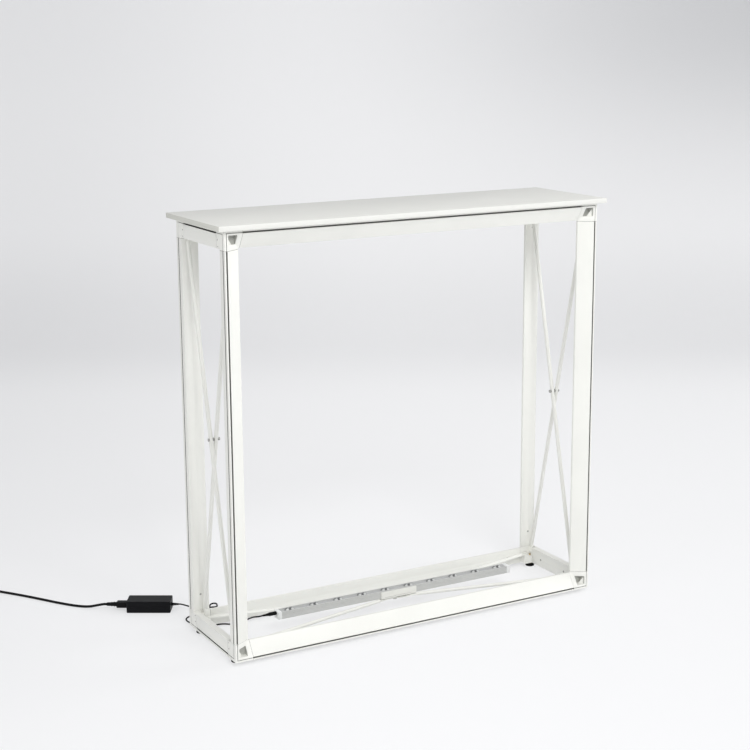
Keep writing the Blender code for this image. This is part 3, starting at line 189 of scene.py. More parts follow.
class Graph:
    """The nodes of one material."""

    def __init__(self, name: str) -> None:
        """Starts an empty material.

        Args:
            name: The material's name.
        """
        self.material = bpy.data.materials.new(name)
        self.material.use_nodes = True
        self.tree = self.material.node_tree
        self.tree.nodes.clear()

    def node(
        self,
        kind: str,
        settings: Mapping[str, Any] | None = None,
        inputs: Mapping[int | str, Any] | None = None,
        output: int | str = 0,
    ) -> Value:
        """Adds one node.

        Args:
            kind: Blender's name of the node type.
            settings: The node's own settings, set first.
            inputs: Values for its sockets, or what they are linked to.
            output: The socket that is handed back.

        Returns:
            The chosen output.
        """
        made = self.tree.nodes.new(kind)
        for name, value in (settings or {}).items():
            setattr(made, name, value)
        for key, value in (inputs or {}).items():
            if isinstance(value, Value):
                self.tree.links.new(value.socket, made.inputs[key])
            else:
                made.inputs[key].default_value = value
        return Value(self, made.outputs[output] if made.outputs else None)

    def place(self) -> Value:
        """Place on the piece, in metres in the counter's frame."""
        return self.node("ShaderNodeTexCoord", output="Object")

    def axis(self, place: Value, name: str) -> Value:
        """One coordinate of a place.

        Args:
            place: The place.
            name: X, Y or Z.

        Returns:
            The coordinate.
        """
        return self.node("ShaderNodeSeparateXYZ", None, {0: place}, output=name)

    def stretched(self, place: Value, scale: Point) -> Value:
        """Place scaled apart along each axis.

        Args:
            place: The place.
            scale: One factor for each axis.

        Returns:
            The scaled place.
        """
        return self.node("ShaderNodeVectorMath", {"operation": "MULTIPLY"}, {0: place, 1: scale})

    def noise(self, place: Value, size: float, detail: float = 2.0, roughness: float = 0.5) -> Value:
        """Soft noise from 0 to 1.

        Args:
            place: Where it is looked up.
            size: The size of its blotches in metres.
            detail: How many finer layers it has.
            roughness: How strong the finer layers are.

        Returns:
            The noise.
        """
        return self.node(
            "ShaderNodeTexNoise",
            None,
            {"Vector": place, "Scale": 1 / size, "Detail": detail, "Roughness": roughness},
        )

    def cells(self, place: Value, size: float) -> Value:
        """Distance to the nearest of many scattered points, as shares of size.

        Args:
            place: Where it is looked up.
            size: The usual distance between the points.

        Returns:
            The distance.
        """
        return self.node("ShaderNodeTexVoronoi", None, {"Vector": place, "Scale": 1 / size})

    def mixed(self, share: Term, first: Any, second: Any) -> Value:
        """A colour between two others.

        Args:
            share: 0 for the first, 1 for the second.
            first: A colour or a link.
            second: A colour or a link.

        Returns:
            The colour.
        """
        rgba = [colour if isinstance(colour, Value) else (*colour, 1) for colour in (first, second)]
        return self.node(
            "ShaderNodeMix", {"data_type": "RGBA"}, {0: share, 6: rgba[0], 7: rgba[1]}, output=2
        )

    def bump(self, height: Value, depth: float, strength: float = 1.0, under: Value | None = None) -> Value:
        """A bent normal.

        Args:
            height: The relief, from 0 to 1.
            depth: The relief's depth in metres.
            strength: How much of it shows.
            under: Another bump below this one.

        Returns:
            The normal.
        """
        inputs: dict[int | str, Any] = {"Height": height, "Distance": depth, "Strength": strength}
        if under is not None:
            inputs["Normal"] = under
        return self.node("ShaderNodeBump", None, inputs)

    def surface(self, **inputs: Any) -> bpy.types.Material:
        """Ends the graph in a Principled shader.

        Args:
            inputs: Its sockets, with underscores for spaces, as values or links.

        Returns:
            The finished material.
        """
        sockets: dict[int | str, Any] = {}
        for name, value in inputs.items():
            if name.endswith(("Color", "Tint")) and not isinstance(value, Value):
                value = (*value, 1)
            sockets[name.replace("_", " ")] = value
        shader = self.node("ShaderNodeBsdfPrincipled", None, sockets)
        return self.output(shader)

    def output(self, shader: Value) -> bpy.types.Material:
        """Sends a shader to the material's output.

        Args:
            shader: The last shader.

        Returns:
            The finished material.
        """
        self.node("ShaderNodeOutputMaterial", None, {"Surface": shader})
        return self.material


def shade(colour: Colour, factor: float) -> Colour:
    """A colour made lighter or darker.

    Args:
        colour: The colour.
        factor: What each channel is multiplied by.

    Returns:
        The new colour.
    """
    return tuple(min(1.0, channel * factor) for channel in colour)


_made: dict[Any, bpy.types.Material] = {}


@dataclass(frozen=True)
class Finish:
    """What a surface is made of. Each kind of finish draws its own graph."""

    name: str
    colour: Colour

    def material(self) -> bpy.types.Material:
        """The finish's material, made once."""
        if self not in _made:
            _made[self] = self.draw(Graph(self.name))
        return _made[self]

    def draw(self, graph: Graph) -> bpy.types.Material:
        """Draws the graph.

        Args:
            graph: The empty graph.

        Returns:
            The finished material.
        """
        raise NotImplementedError

    def clouded(self, graph: Graph, place: Value, size: float, amount: float) -> Value:
        """The colour with broad, faint clouds.

        Args:
            graph: The graph.
            place: Where the clouds are looked up.
            size: Their size in metres.
            amount: How far they depart from the colour.

        Returns:
            The clouded colour.
        """
        clouds = graph.noise(place, size, 3.0).step(0.35, 0.65)
        return graph.mixed(clouds, shade(self.colour, 1 - amount), shade(self.colour, 1 + amount))


@dataclass(frozen=True)
class PowderCoat(Finish):
    """Satin powder coat with the fine ripple of a baked film."""

    roughness: float = 0.42
    ripple: float = 0.0011
    depth: float = 0.00003

    def draw(self, graph: Graph) -> bpy.types.Material:
        """Draws the rippled film with faint clouds and the odd grain of dust baked in."""
        place = graph.place()
        film = graph.noise(place, self.ripple, 1.5)
        grains = 1 - graph.cells(place, 0.009).step(0.02, 0.05)
        dust = graph.bump(grains, 0.00006, 0.4)
        return graph.surface(
            Base_Color=self.clouded(graph, place, 0.14, 0.012),
            Roughness=self.roughness + 0.07 * graph.noise(place, 0.03, 3.0),
            Normal=graph.bump(film, self.depth, 0.5, dust),
            Coat_Weight=0.12,
            Coat_Roughness=0.3,
        )


@dataclass(frozen=True)
class Laminate(Finish):
    """Matt pearl laminate of the board, with a fine pebbled face."""

    roughness: float = 0.5

    def draw(self, graph: Graph) -> bpy.types.Material:
        """Draws the pebbled face and the faint unevenness of the paper under it."""
        place = graph.place()
        pebbles = graph.noise(place, 0.0007, 3.0, 0.6)
        waves = graph.noise(place, 0.05, 1.0)
        return graph.surface(
            Base_Color=self.clouded(graph, place, 0.2, 0.01),
            Roughness=self.roughness + 0.1 * graph.noise(place, 0.01, 4.0),
            Normal=graph.bump(pebbles, 0.00004, 0.5, graph.bump(waves, 0.00012, 0.3)),
        )


@dataclass(frozen=True)
class Moulded(Finish):
    """Moulded plastic with the fine spark-worn face of its mould."""

    roughness: float = 0.45
    grain: float = 0.0005
    depth: float = 0.00003
    sheen: float = 0.5

    def draw(self, graph: Graph) -> bpy.types.Material:
        """Draws the mould's grain, with faint flow clouds in the colour."""
        place = graph.place()
        grain = graph.noise(place, self.grain, 4.0, 0.7)
        flow = graph.noise(graph.stretched(place, (1.0, 1.0, 0.35)), 0.02, 2.0)
        return graph.surface(
            Base_Color=self.clouded(graph, place, 0.03, 0.02),
            Roughness=self.roughness + 0.08 * flow,
            Specular_IOR_Level=self.sheen,
            Normal=graph.bump(grain, self.depth, 0.6),
        )


@dataclass(frozen=True)
class Drawn(Finish):
    """Bare metal with fine lines along one axis, left by drawing or turning."""

    roughness: float = 0.3
    along: Point = (1.0, 30.0, 30.0)
    metallic: float = 1.0

    def draw(self, graph: Graph) -> bpy.types.Material:
        """Draws the lines as long streaks of colour, gloss and relief."""
        place = graph.place()
        lines = graph.noise(graph.stretched(place, self.along), 0.012, 4.0, 0.6)
        return graph.surface(
            Base_Color=graph.mixed(lines, shade(self.colour, 0.86), shade(self.colour, 1.1)),
            Metallic=self.metallic,
            Roughness=self.roughness + 0.2 * lines,
            Normal=graph.bump(lines, 0.00002, 0.4),
        )


@dataclass(frozen=True)
class Rubber(Finish):
    """Soft black cover of a lead or pad, matt with a faint bloom."""

    roughness: float = 0.55
    sheen: float = 0.3

    def draw(self, graph: Graph) -> bpy.types.Material:
        """Draws the bloom as paler patches over a fine grain."""
        place = graph.place()
        bloom = graph.noise(place, 0.02, 4.0, 0.6).step(0.45, 0.8)
        grain = graph.noise(place, 0.0008, 3.0, 0.7)
        return graph.surface(
            Base_Color=graph.mixed(bloom, self.colour, shade(self.colour, 2.2)),
            Roughness=self.roughness + 0.15 * bloom,
            Specular_IOR_Level=self.sheen,
            Normal=graph.bump(grain, 0.00004, 0.5),
        )


@dataclass(frozen=True)
class ClearLens(Finish):
    """Clear moulded plastic over the lamps: bright rims round a paler middle."""

    def draw(self, graph: Graph) -> bpy.types.Material:
        """Draws clear plastic that keeps some body of its own, so that it also shows in plain viewers."""
        place = graph.place()
        haze = graph.noise(place, 0.004, 3.0)
        return graph.surface(
            Base_Color=graph.mixed(haze, shade(self.colour, 0.9), self.colour),
            Roughness=0.08 + 0.1 * haze,
            Alpha=0.55 + 0.1 * haze,
            IOR=1.49,
            Normal=graph.bump(haze, 0.00005, 0.3),
        )


# Finishes of this object
FRAME_COAT = PowderCoat("frame_coat", (0.86, 0.86, 0.815))
# Painted shade: the face grooves are painted dark grey and the side grooves near black, for the shade deep
# in the narrow slots.
GROOVE_PAINTED_SHADE = PowderCoat("groove_coat", (0.27, 0.27, 0.25), roughness=0.6)
GROOVE_SHADE = PowderCoat("groove_shade", (0.06, 0.062, 0.055), roughness=0.7)
BRACE_COAT = PowderCoat("brace_coat", (0.86, 0.86, 0.815), roughness=0.4)
CLIP_COAT = PowderCoat("clip_coat", (0.86, 0.86, 0.81), roughness=0.45)
BOARD_FACE = Laminate("board_face", (0.79, 0.79, 0.75))
# Painted shade: the board's two ends, painted darker than its face for the shade on the end away from the
# lamps.
BOARD_END_SHADE = Laminate("board_end", (0.67, 0.67, 0.615))
CONNECTOR_PLASTIC = Moulded("connector_plastic", (0.87, 0.87, 0.825))
# Painted shade: the pockets in the connectors' faces, painted darker for the shade cast into them.
POCKET_PAINTED_SHADE = Moulded("pocket_plastic", (0.52, 0.525, 0.49), roughness=0.6)
# Painted shade: the snap studs, painted grey for the shade of the holes they sit in.
STUD_PAINTED_SHADE = Moulded("stud_plastic", (0.42, 0.42, 0.40), roughness=0.5)
HOLE_SHADE = Moulded("hole_shade", (0.06, 0.06, 0.058), roughness=0.7, sheen=0.2)
# Painted shade: the dark rims where posts and rails meet the connectors, and the small dark discs for the
# pin holes in the connectors' ends.
SEAM_SHADE = Moulded("seam_shade", (0.22, 0.22, 0.205), roughness=0.7, sheen=0.2)
CAP_PLASTIC = Moulded("cap_plastic", (0.85, 0.86, 0.85), roughness=0.4)
PEG_PLASTIC = Moulded("peg_plastic", (0.82, 0.82, 0.79), roughness=0.5)
LIGHT_METAL = Drawn("light_metal", (0.62, 0.625, 0.61), roughness=0.5, metallic=0.2)
CIRCUIT_MASK = Moulded("circuit_mask", (0.56, 0.565, 0.55), roughness=0.4, grain=0.001)
LENS_CLEAR = ClearLens("lens_clear", (0.70, 0.71, 0.70))
# Painted highlight: the fronts of the lenses, painted pale for the glint on their lit lobes.
LENS_HIGHLIGHT = Moulded("lens_chip", (0.60, 0.61, 0.60), roughness=0.2, sheen=0.6)
# Painted shade and reflection: the backs of the lenses and the gaps between their lobes, painted dark.
LENS_SHADE = Moulded("lens_shade", (0.17, 0.175, 0.175), roughness=0.25, sheen=0.4)
ZINC = Drawn("zinc_steel", (0.52, 0.52, 0.50), roughness=0.35, along=(8.0, 8.0, 30.0))
BRASS = Drawn("turned_brass", (0.66, 0.46, 0.22), roughness=0.3, along=(4.0, 4.0, 40.0))
PAD_RUBBER = Rubber("pad_rubber", (0.004, 0.004, 0.004), roughness=0.7, sheen=0.1)
LEAD_COVER = Rubber("lead_cover", (0.0035, 0.0035, 0.004), sheen=0.12)
MAINS_COVER = Rubber("mains_cover", (0.004, 0.004, 0.004), roughness=0.5, sheen=0.12)
GRIP_PLASTIC = Moulded("grip_plastic", (0.004, 0.004, 0.0045), roughness=0.45, sheen=0.12)
SUPPLY_PLASTIC = Moulded(
    "supply_plastic", (0.0045, 0.0048, 0.006), roughness=0.42, depth=0.00006, sheen=0.12
)
TIE_PLASTIC = Moulded("tie_plastic", (0.008, 0.008, 0.008), roughness=0.5, sheen=0.2)


# Meshes

SAME_PLACE = 0.000002
FLAT_ANGLE = math.radians(0.5)


def placed(name: str, mesh: bpy.types.Mesh, finish: Finish, body: str) -> bpy.types.Object:
    """A new piece of the object.

    Args:
        name: The piece's name.
        mesh: Its mesh, in the counter's frame.
        finish: Its finish.
        body: The CAD body that it moves with.

    Returns:
        The piece.
    """
    piece = bpy.data.objects.new(name, mesh)
    bpy.context.scene.collection.objects.link(piece)
    mesh.materials.clear()
    mesh.materials.append(finish.material())
    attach(piece, body)
    log.info("%s on %s", name, body)
    return piece


def baked(piece: bpy.types.Object) -> bpy.types.Mesh:
    """The piece's mesh with its modifiers worked in.

    Args:
        piece: An object that is only used for this.

    Returns:
        A new mesh.
    """
    bpy.context.view_layer.update()
    shown = piece.evaluated_get(bpy.context.evaluated_depsgraph_get())
    mesh = bpy.data.meshes.new_from_object(shown)
    bpy.data.objects.remove(piece)
    return mesh


def softened(mesh: bpy.types.Mesh, width: float, angle: float = 30.0) -> bpy.types.Mesh:
    """Rounds the edges of a mesh.

    Args:
        mesh: The mesh, which is left as it is.
        width: How far the rounding reaches from an edge.
        angle: The least angle in degrees at an edge that is rounded.

    Returns:
        A new mesh with rounded edges and even flat faces.
    """
    shape = bmesh.new()
    shape.from_mesh(mesh)
    bmesh.ops.remove_doubles(shape, verts=shape.verts, dist=SAME_PLACE)
    bmesh.ops.dissolve_limit(shape, angle_limit=FLAT_ANGLE, verts=shape.verts, edges=shape.edges)
    for surface in shape.faces:
        surface.smooth = True
    holder = bpy.data.objects.new("holder", finished(mesh.name, shape))
    bpy.context.scene.collection.objects.link(holder)
    rounding = holder.modifiers.new("rounding", "BEVEL")
    rounding.width = width
    rounding.segments = 2
    rounding.limit_method = "ANGLE"
    rounding.angle_limit = math.radians(angle)
    rounding.use_clamp_overlap = True
    rounding.harden_normals = True
    return baked(holder)


def dress(
    nodes: Iterable[str], finish: Finish, width: float = 0.0, angle: float = 30.0
) -> list[bpy.types.Object]:
    """Gives CAD nodes a finish, and softer edges where a width is given.

    Args:
        nodes: The nodes' names.
        finish: Their finish.
        width: The rounding's width, or zero to leave the node as it is.
        angle: The least angle in degrees at an edge that is rounded.

    Returns:
        The new pieces.
    """
    pieces = []
    for name in nodes:
        node = frame["nodes"][name]
        if width:
            mesh = softened(node.data, width, angle)
            piece = placed(f"{name}_finished", mesh, finish, node["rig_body"])
            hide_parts(name)
            pieces.append(piece)
        else:
            node.data.materials.clear()
            node.data.materials.append(finish.material())
            log.info("%s dressed", name)
    return pieces


def finished(name: str, shape: bmesh.types.BMesh) -> bpy.types.Mesh:
    """Turns a shape into a mesh, and frees the shape.

    Args:
        name: The mesh's name.
        shape: The shape.

    Returns:
        The mesh.
    """
    mesh = bpy.data.meshes.new(name)
    shape.to_mesh(mesh)
    shape.free()
    return mesh


def lined(piece: bpy.types.Object, finish: Finish, inside: Callable[[Vector, Vector], bool]) -> None:
    """Gives some faces of a piece a second finish.

    Args:
        piece: The piece.
        finish: The finish of the chosen faces.
        inside: Says of a face's middle and its normal whether it is chosen.
    """
    slot = len(piece.data.materials)
    piece.data.materials.append(finish.material())
    for face in piece.data.polygons:
        if inside(face.center, face.normal):
            face.material_index = slot


def flowing_curve(name: str, points: Sequence[Point], radius: float, detail: int) -> bpy.types.Object:
    """A round tube along a smooth curve through the points.

    Args:
        name: The curve's name.
        points: The route.
        radius: The tube's radius.
        detail: How many steps the curve takes between two points.

    Returns:
        The tube.
    """
    data = bpy.data.curves.new(name, "CURVE")
    data.dimensions = "3D"
    data.bevel_depth = radius
    data.bevel_resolution = 4
    data.use_fill_caps = True
    data.resolution_u = detail
    spline = data.splines.new("BEZIER")
    spline.bezier_points.add(len(points) - 1)
    for knot, point in zip(spline.bezier_points, points):
        knot.co = point
        knot.handle_left_type = knot.handle_right_type = "AUTO"
    tube = bpy.data.objects.new(name, data)
    bpy.context.scene.collection.objects.link(tube)
    return tube


def curve_length(tube: bpy.types.Object) -> float:
    """The length of a curve's one spline in metres."""
    return tube.data.splines[0].calc_length()


# The studio


@dataclass
class Studio:
    """Camera, lamps and the pale sweep that the counter stands on."""

    lens: float = 76.09
    eye: Point = (-1.873771, -3.282959, 1.460061)
    yaw: float = 0.50653
    pitch: float = -0.22183
    roll: float = -0.00652
    sweep_colour: Colour = (0.90, 0.905, 0.915)
    pale_glow: Colour = (0.975, 0.975, 0.985)
    dim_glow: Colour = (0.42, 0.425, 0.44)
    glow_share: float = 0.58
    world_colour: Colour = (0.98, 0.985, 1.0)
    world_strength: float = 0.5

    sweep_near: float = -9.0
    sweep_far: float = 3.2
    sweep_bend: float = 1.6
    bend_steps: int = 12
    sweep_top: float = 9.0
    sweep_side: float = 12.0

    bend_dimming: float = 0.19
    bend_run: tuple[float, float] = (2.2, 3.4)
    bend_rise: tuple[float, float] = (0.03, 0.45)
    left_dimming: float = 0.26
    left_run: tuple[float, float] = (0.0, 1.9)
    right_dimming: float = 0.12
    right_run: tuple[float, float] = (0.0, 1.6)
    corner_dimming: float = 0.66
    corner_run: tuple[float, float] = (-0.9, 2.3)
    corner_rise: tuple[float, float] = (0.3, 1.5)
    upper_dimming: float = 0.08
    upper_rise: tuple[float, float] = (0.8, 1.6)

    def build(self) -> None:
        """Makes the camera, the sweep and the lamps."""
        self.add_camera()
        self.add_sweep()
        self.add_lamps()
        bpy.context.scene.view_settings.view_transform = "Standard"

    def add_camera(self) -> None:
        """Sets the camera where the photograph was taken from."""
        ahead = Vector(
            (
                math.sin(self.yaw) * math.cos(self.pitch),
                math.cos(self.yaw) * math.cos(self.pitch),
                math.sin(self.pitch),
            )
        )
        level = Vector((math.cos(self.yaw), -math.sin(self.yaw), 0))
        above = level.cross(ahead)
        right = level * math.cos(self.roll) + above * math.sin(self.roll)
        up = above * math.cos(self.roll) - level * math.sin(self.roll)
        data = bpy.data.cameras.new("camera")
        data.lens = self.lens
        data.sensor_width = 36.0
        camera = bpy.data.objects.new("camera", data)
        turn = Matrix((right, up, -ahead)).transposed().to_4x4()
        camera.matrix_world = Matrix.Translation(self.eye) @ turn
        bpy.context.scene.collection.objects.link(camera)
        bpy.context.scene.camera = camera

    def add_sweep(self) -> None:
        """Lays the floor that bends up into the backdrop far behind the counter."""
        far, bend = self.sweep_far, self.sweep_bend
        profile = [(self.sweep_near, 0.0), (far, 0.0)]
        for step in range(1, self.bend_steps + 1):
            angle = math.radians(90 * step / self.bend_steps)
            profile.append((far + bend * math.sin(angle), bend * (1 - math.cos(angle))))
        profile.append((far + bend, self.sweep_top))
        shape = bmesh.new()
        turn = Matrix.Rotation(-self.yaw, 4, "Z")
        rows = [
            [shape.verts.new(turn @ Vector((x, y, z))) for y, z in profile]
            for x in (-self.sweep_side, self.sweep_side)
        ]
        for index in range(len(profile) - 1):
            shape.faces.new(
                (rows[0][index], rows[1][index], rows[1][index + 1], rows[0][index + 1])
            ).smooth = True
        sweep = bpy.data.objects.new("sweep", finished("sweep", shape))
        sweep.data.materials.append(self.sweep_material())
        bpy.context.scene.collection.objects.link(sweep)

    def sweep_material(self) -> bpy.types.Material:
        """Painted board that keeps the counter's shadow and stays pale for the camera."""
        graph = Graph("sweep_paint")
        seen = graph.node("ShaderNodeLightPath", output="Is Camera Ray")
        glossy = graph.node("ShaderNodeLightPath", output="Is Glossy Ray")
        through = graph.node("ShaderNodeLightPath", output="Is Transmission Ray")
        paint = graph.node("ShaderNodeBsdfDiffuse", None, {"Color": (*self.sweep_colour, 1)})
        pale, dim = (
            graph.node("ShaderNodeEmission", None, {"Color": (*colour, 1), "Strength": 1.0})
            for colour in (self.pale_glow, self.dim_glow)
        )
        glow = graph.node("ShaderNodeMixShader", None, {0: self.sweep_dimming(graph), 1: pale, 2: dim})
        share = seen.most(glossy).most(through) * self.glow_share
        return graph.output(graph.node("ShaderNodeMixShader", None, {0: share, 1: paint, 2: glow}))

    def sweep_dimming(self, graph: Graph) -> Value:
        """How far the sweep's light has fallen off: at its sides, in its bend and towards one upper corner.

        Args:
            graph: The sweep's graph.

        Returns:
            0 where it is palest, 1 where it is dimmest.
        """
        x, y, height = (graph.axis(graph.place(), name) for name in "XYZ")
        across = x * math.cos(self.yaw) - y * math.sin(self.yaw)
        ahead = x * math.sin(self.yaw) + y * math.cos(self.yaw)
        bend = ahead.step(*self.bend_run) * (1 - height.step(*self.bend_rise))
        left = (0 - across).step(*self.left_run)
        right = across.step(*self.right_run)
        corner = across.step(*self.corner_run) * height.step(*self.corner_rise)
        return (
            self.bend_dimming * bend
            + self.left_dimming * left
            + self.right_dimming * right
            + self.corner_dimming * corner
            + self.upper_dimming * height.step(*self.upper_rise)
        )

    def add_lamps(self) -> None:
        """Hangs three large soft lamps and fills the rest from the world."""
        middle = (0.0, 0.0, 0.5)
        self.add_lamp("front", (-0.4, -3.6, 3.4), middle, 2.0, 97.0)
        self.add_lamp("left", (-3.8, -1.0, 2.2), middle, 2.2, 30.0)
        self.add_lamp("right", (3.8, -1.0, 2.2), middle, 2.2, 53.0)
        world = bpy.data.worlds.new("world")
        world.use_nodes = True
        background = world.node_tree.nodes["Background"]
        background.inputs["Color"].default_value = (*self.world_colour, 1)
        background.inputs["Strength"].default_value = self.world_strength
        bpy.context.scene.world = world

    @staticmethod
    def add_lamp(name: str, place: Point, target: Point, size: float, power: float) -> None:
        """Adds one square soft lamp.

        Args:
            name: The lamp's name.
            place: Where it hangs.
            target: Where it points.
            size: The length of its sides.
            power: Its power in watts.
        """
        data = bpy.data.lights.new(name, "AREA")
        data.size = size
        data.energy = power
        lamp = bpy.data.objects.new(name, data)
        lamp.location = place
        aim = Vector(target) - Vector(place)
        lamp.rotation_euler = aim.to_track_quat("-Z", "Y").to_euler()
        bpy.context.scene.collection.objects.link(lamp)


# The object


@dataclass
class Frame:
    """Posts, rails, corner connectors and crossed braces."""

    section_rounding: float = 0.0004
    connector_rounding: float = 0.0004
    brace_rounding: float = 0.0004
    skin: float = 0.0004
    groove_depth: float = 0.0072
    edge_groove: tuple[float, float] = (0.0031, 0.0069)
    side_groove: tuple[float, float] = (0.0086, 0.0124)
    low_groove: tuple[float, float] = (0.0056, 0.0094)

    pocket: tuple[float, float] = (0.0098, 0.0322)
    pocket_depth: float = 0.0202
    wall_tilt: float = 0.4
    upward_tilt: float = 0.5
    gusset_depth: float = 0.0075
    gusset_slant: float = 0.006
    gusset_start: float = 0.2
    gusset_width: float = 0.55
    stud_place: tuple[float, float] = (0.0852, 0.0198)
    stud_radius: float = 0.0022
    stud_hole: float = 0.0028
    screw_place: tuple[float, float] = (0.0385, 0.0225)
    screw_hole: float = 0.0019
    screw_depth: float = 0.0065
    mark_width: float = 0.0007
    pin_place: tuple[float, float] = (0.038, 0.0375)
    pin_radius: float = 0.0011

    def __post_init__(self) -> None:
        """Reads the frame's outer corners."""
        self.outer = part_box("connector_back_right_top")[1]
        self.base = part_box("connector_back_right_bottom")[0].z
        self.joints = (
            self.outer.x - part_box("back_rail_top")[1].x,
            self.outer.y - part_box("side_rail_right_top")[1].y,
            self.outer.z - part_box("back_post_right")[1].z,
        )

    def inwards(self, place: Vector) -> Point:
        """How far a place lies inside the frame's ends, its faces, and its top or base.

        Args:
            place: The place.

        Returns:
            The three depths.
        """
        height = min(self.outer.z - place.z, place.z - self.base)
        return self.outer.x - abs(place.x), self.outer.y - abs(place.y), height

    def from_stud(self, place: Vector) -> float:
        """How far a place is from the axis of the nearest snap stud.

        Args:
            place: The place.

        Returns:
            The distance.
        """
        u, v, w = self.inwards(place)
        along, across = self.stud_place
        axes = ((u - along, w - across), (u - across, w - along), (v - along, w - across))
        return min(math.hypot(*offset) for offset in axes)

    def in_hole(self, place: Vector, _: Vector) -> bool:
        """Whether a face of a post or rail is the wall of a snap stud's hole.

        Args:
            place: The face's middle.

        Returns:
            True in a hole.
        """
        return self.from_stud(place) < self.stud_hole

    def on_stud(self, place: Vector, _: Vector) -> bool:
        """Whether a face of a connector belongs to a snap stud, which gets painted shade for the dark of
        its hole.

        Args:
            place: The face's middle.

        Returns:
            True on a stud.
        """
        return self.from_stud(place) < self.stud_radius

    def in_screw_hole(self, place: Vector, _: Vector) -> bool:
        """Whether a face of a connector is in the small hole in its end.

        Args:
            place: The face's middle.

        Returns:
            True in the hole.
        """
        u, v, w = self.inwards(place)
        along, across = self.screw_place
        return self.skin / 2 < u < self.screw_depth and math.hypot(v - along, w - across) < self.screw_hole

    def in_pocket(self, place: Vector, normal: Vector) -> bool:
        """Whether a face of a connector gets the painted shade of the pocket in its outer face: its floor,
        and its walls that do not face up.

        Args:
            place: The face's middle.
            normal: Its normal.

        Returns:
            True in the pocket.
        """
        u, v, w = self.inwards(place)
        low, high = self.pocket
        wall = abs(normal.y) < self.wall_tilt and normal.z < self.upward_tilt
        floor = v > self.pocket_depth - self.skin
        inside = low < u < high and low < w < high and self.skin < v < self.pocket_depth
        return inside and (wall or floor)

    def within(self, along: float, depth: float, groove: tuple[float, float]) -> bool:
        """Whether a place lies in a groove.

        Args:
            along: Its distance from the edge that the groove runs along.
            depth: How deep it lies under the face that the groove is cut in.
            groove: The distances from that edge between which the groove lies.

        Returns:
            True in the groove.
        """
        return self.skin < depth < self.groove_depth and groove[0] < along < groove[1]

    def in_face_groove(self, place: Vector, _: Vector) -> bool:
        """Whether a face is in a groove of the front or back, which takes a fabric's edge.

        Args:
            place: The face's middle.

        Returns:
            True in the groove.
        """
        u, v, w = self.inwards(place)
        return self.within(u, v, self.edge_groove) or self.within(w, v, self.edge_groove)

    def in_side_groove(self, place: Vector, _: Vector) -> bool:
        """Whether a face is in a groove of the ends, the top or the base.

        Args:
            place: The face's middle.

        Returns:
            True in the groove.
        """
        u, v, w = self.inwards(place)
        across = self.within(v, u, self.side_groove) or self.within(v, w, self.side_groove)
        return across or self.within(w, u, self.low_groove)

    def outwards(self, corner: tuple[Face, Side, Level], depths: Point) -> Vector:
        """The place that lies at given depths inside one corner of the frame.

        Args:
            corner: The corner.
            depths: How far inside the end, the face, and the top or base.

        Returns:
            The place.
        """
        face, side, level = corner
        u, v, w = depths
        height = self.outer.z - w if level is Level.TOP else self.base + w
        return Vector((side.value * (self.outer.x - u), face.value * (self.outer.y - v), height))

    def add_gussets(self) -> None:
        """Sets a small slanted web in the pocket of each connector's face."""
        shape = bmesh.new()
        near, far = self.pocket
        start = self.gusset_depth
        for corner in CORNERS:
            low, high = (far, near) if corner[-1] is Level.TOP else (near, far)
            tip = high + (low - high) * self.gusset_start
            side = near + self.gusset_width * (far - near)
            depths = (
                (near, start, tip),
                (near, start, low),
                (side, start + self.gusset_slant, low),
                (near, self.pocket_depth, low),
            )
            verts = [shape.verts.new(self.outwards(corner, depth)) for depth in depths]
            for indices in ((0, 1, 2), (0, 2, 3), (0, 3, 1), (1, 3, 2)):
                shape.faces.new([verts[index] for index in indices])
        bmesh.ops.recalc_face_normals(shape, faces=shape.faces)
        name = "pocket_gussets"
        placed(name, finished(name, shape), CONNECTOR_PLASTIC, "frame")

    def add_pins(self) -> None:
        """Adds a small dark disc to each connector's end, the painted shade of a second pin's hole."""
        shape = bmesh.new()
        turn = Matrix.Rotation(math.pi / 2, 4, "Y")
        for corner in CORNERS:
            place = self.outwards(corner, (0.0, *self.pin_place))
            bmesh.ops.create_cone(
                shape,
                cap_ends=True,
                segments=24,
                radius1=self.pin_radius,
                radius2=self.pin_radius,
                depth=self.mark_width,
                matrix=Matrix.Translation(place) @ turn,
            )
        name = "end_pins"
        placed(name, finished(name, shape), SEAM_SHADE, "frame")

    def at_joint(self, place: Vector, _: Vector) -> bool:
        """Whether a face is on the rounded rim where a post or rail meets a connector.

        Args:
            place: The face's middle.

        Returns:
            True at a joint.
        """
        return any(
            abs(depth - joint) < self.mark_width
            for depth, joint in zip(self.inwards(place), self.joints)
        )

    def build(self) -> None:
        """Dresses every part of the frame."""
        sections: list[str] = []
        for face in Face:
            sections += [f"{face.word}_post_{side.word}" for side in Side]
            sections += [f"{face.word}_rail_{level.word}" for level in Level]
        sections += [f"side_rail_{side.word}_{level.word}" for side in Side for level in Level]
        for piece in dress(sections, FRAME_COAT, self.section_rounding):
            # Painted shade: the grooves, the stud holes and the rims at the joints are painted darker than
            # the coat.
            lined(piece, GROOVE_PAINTED_SHADE, self.in_face_groove)
            lined(piece, GROOVE_SHADE, self.in_side_groove)
            lined(piece, HOLE_SHADE, self.in_hole)
            lined(piece, SEAM_SHADE, self.at_joint)
        connectors = [
            f"connector_{face.word}_{side.word}_{level.word}" for face, side, level in CORNERS
        ]
        for piece in dress(connectors, CONNECTOR_PLASTIC, self.connector_rounding):
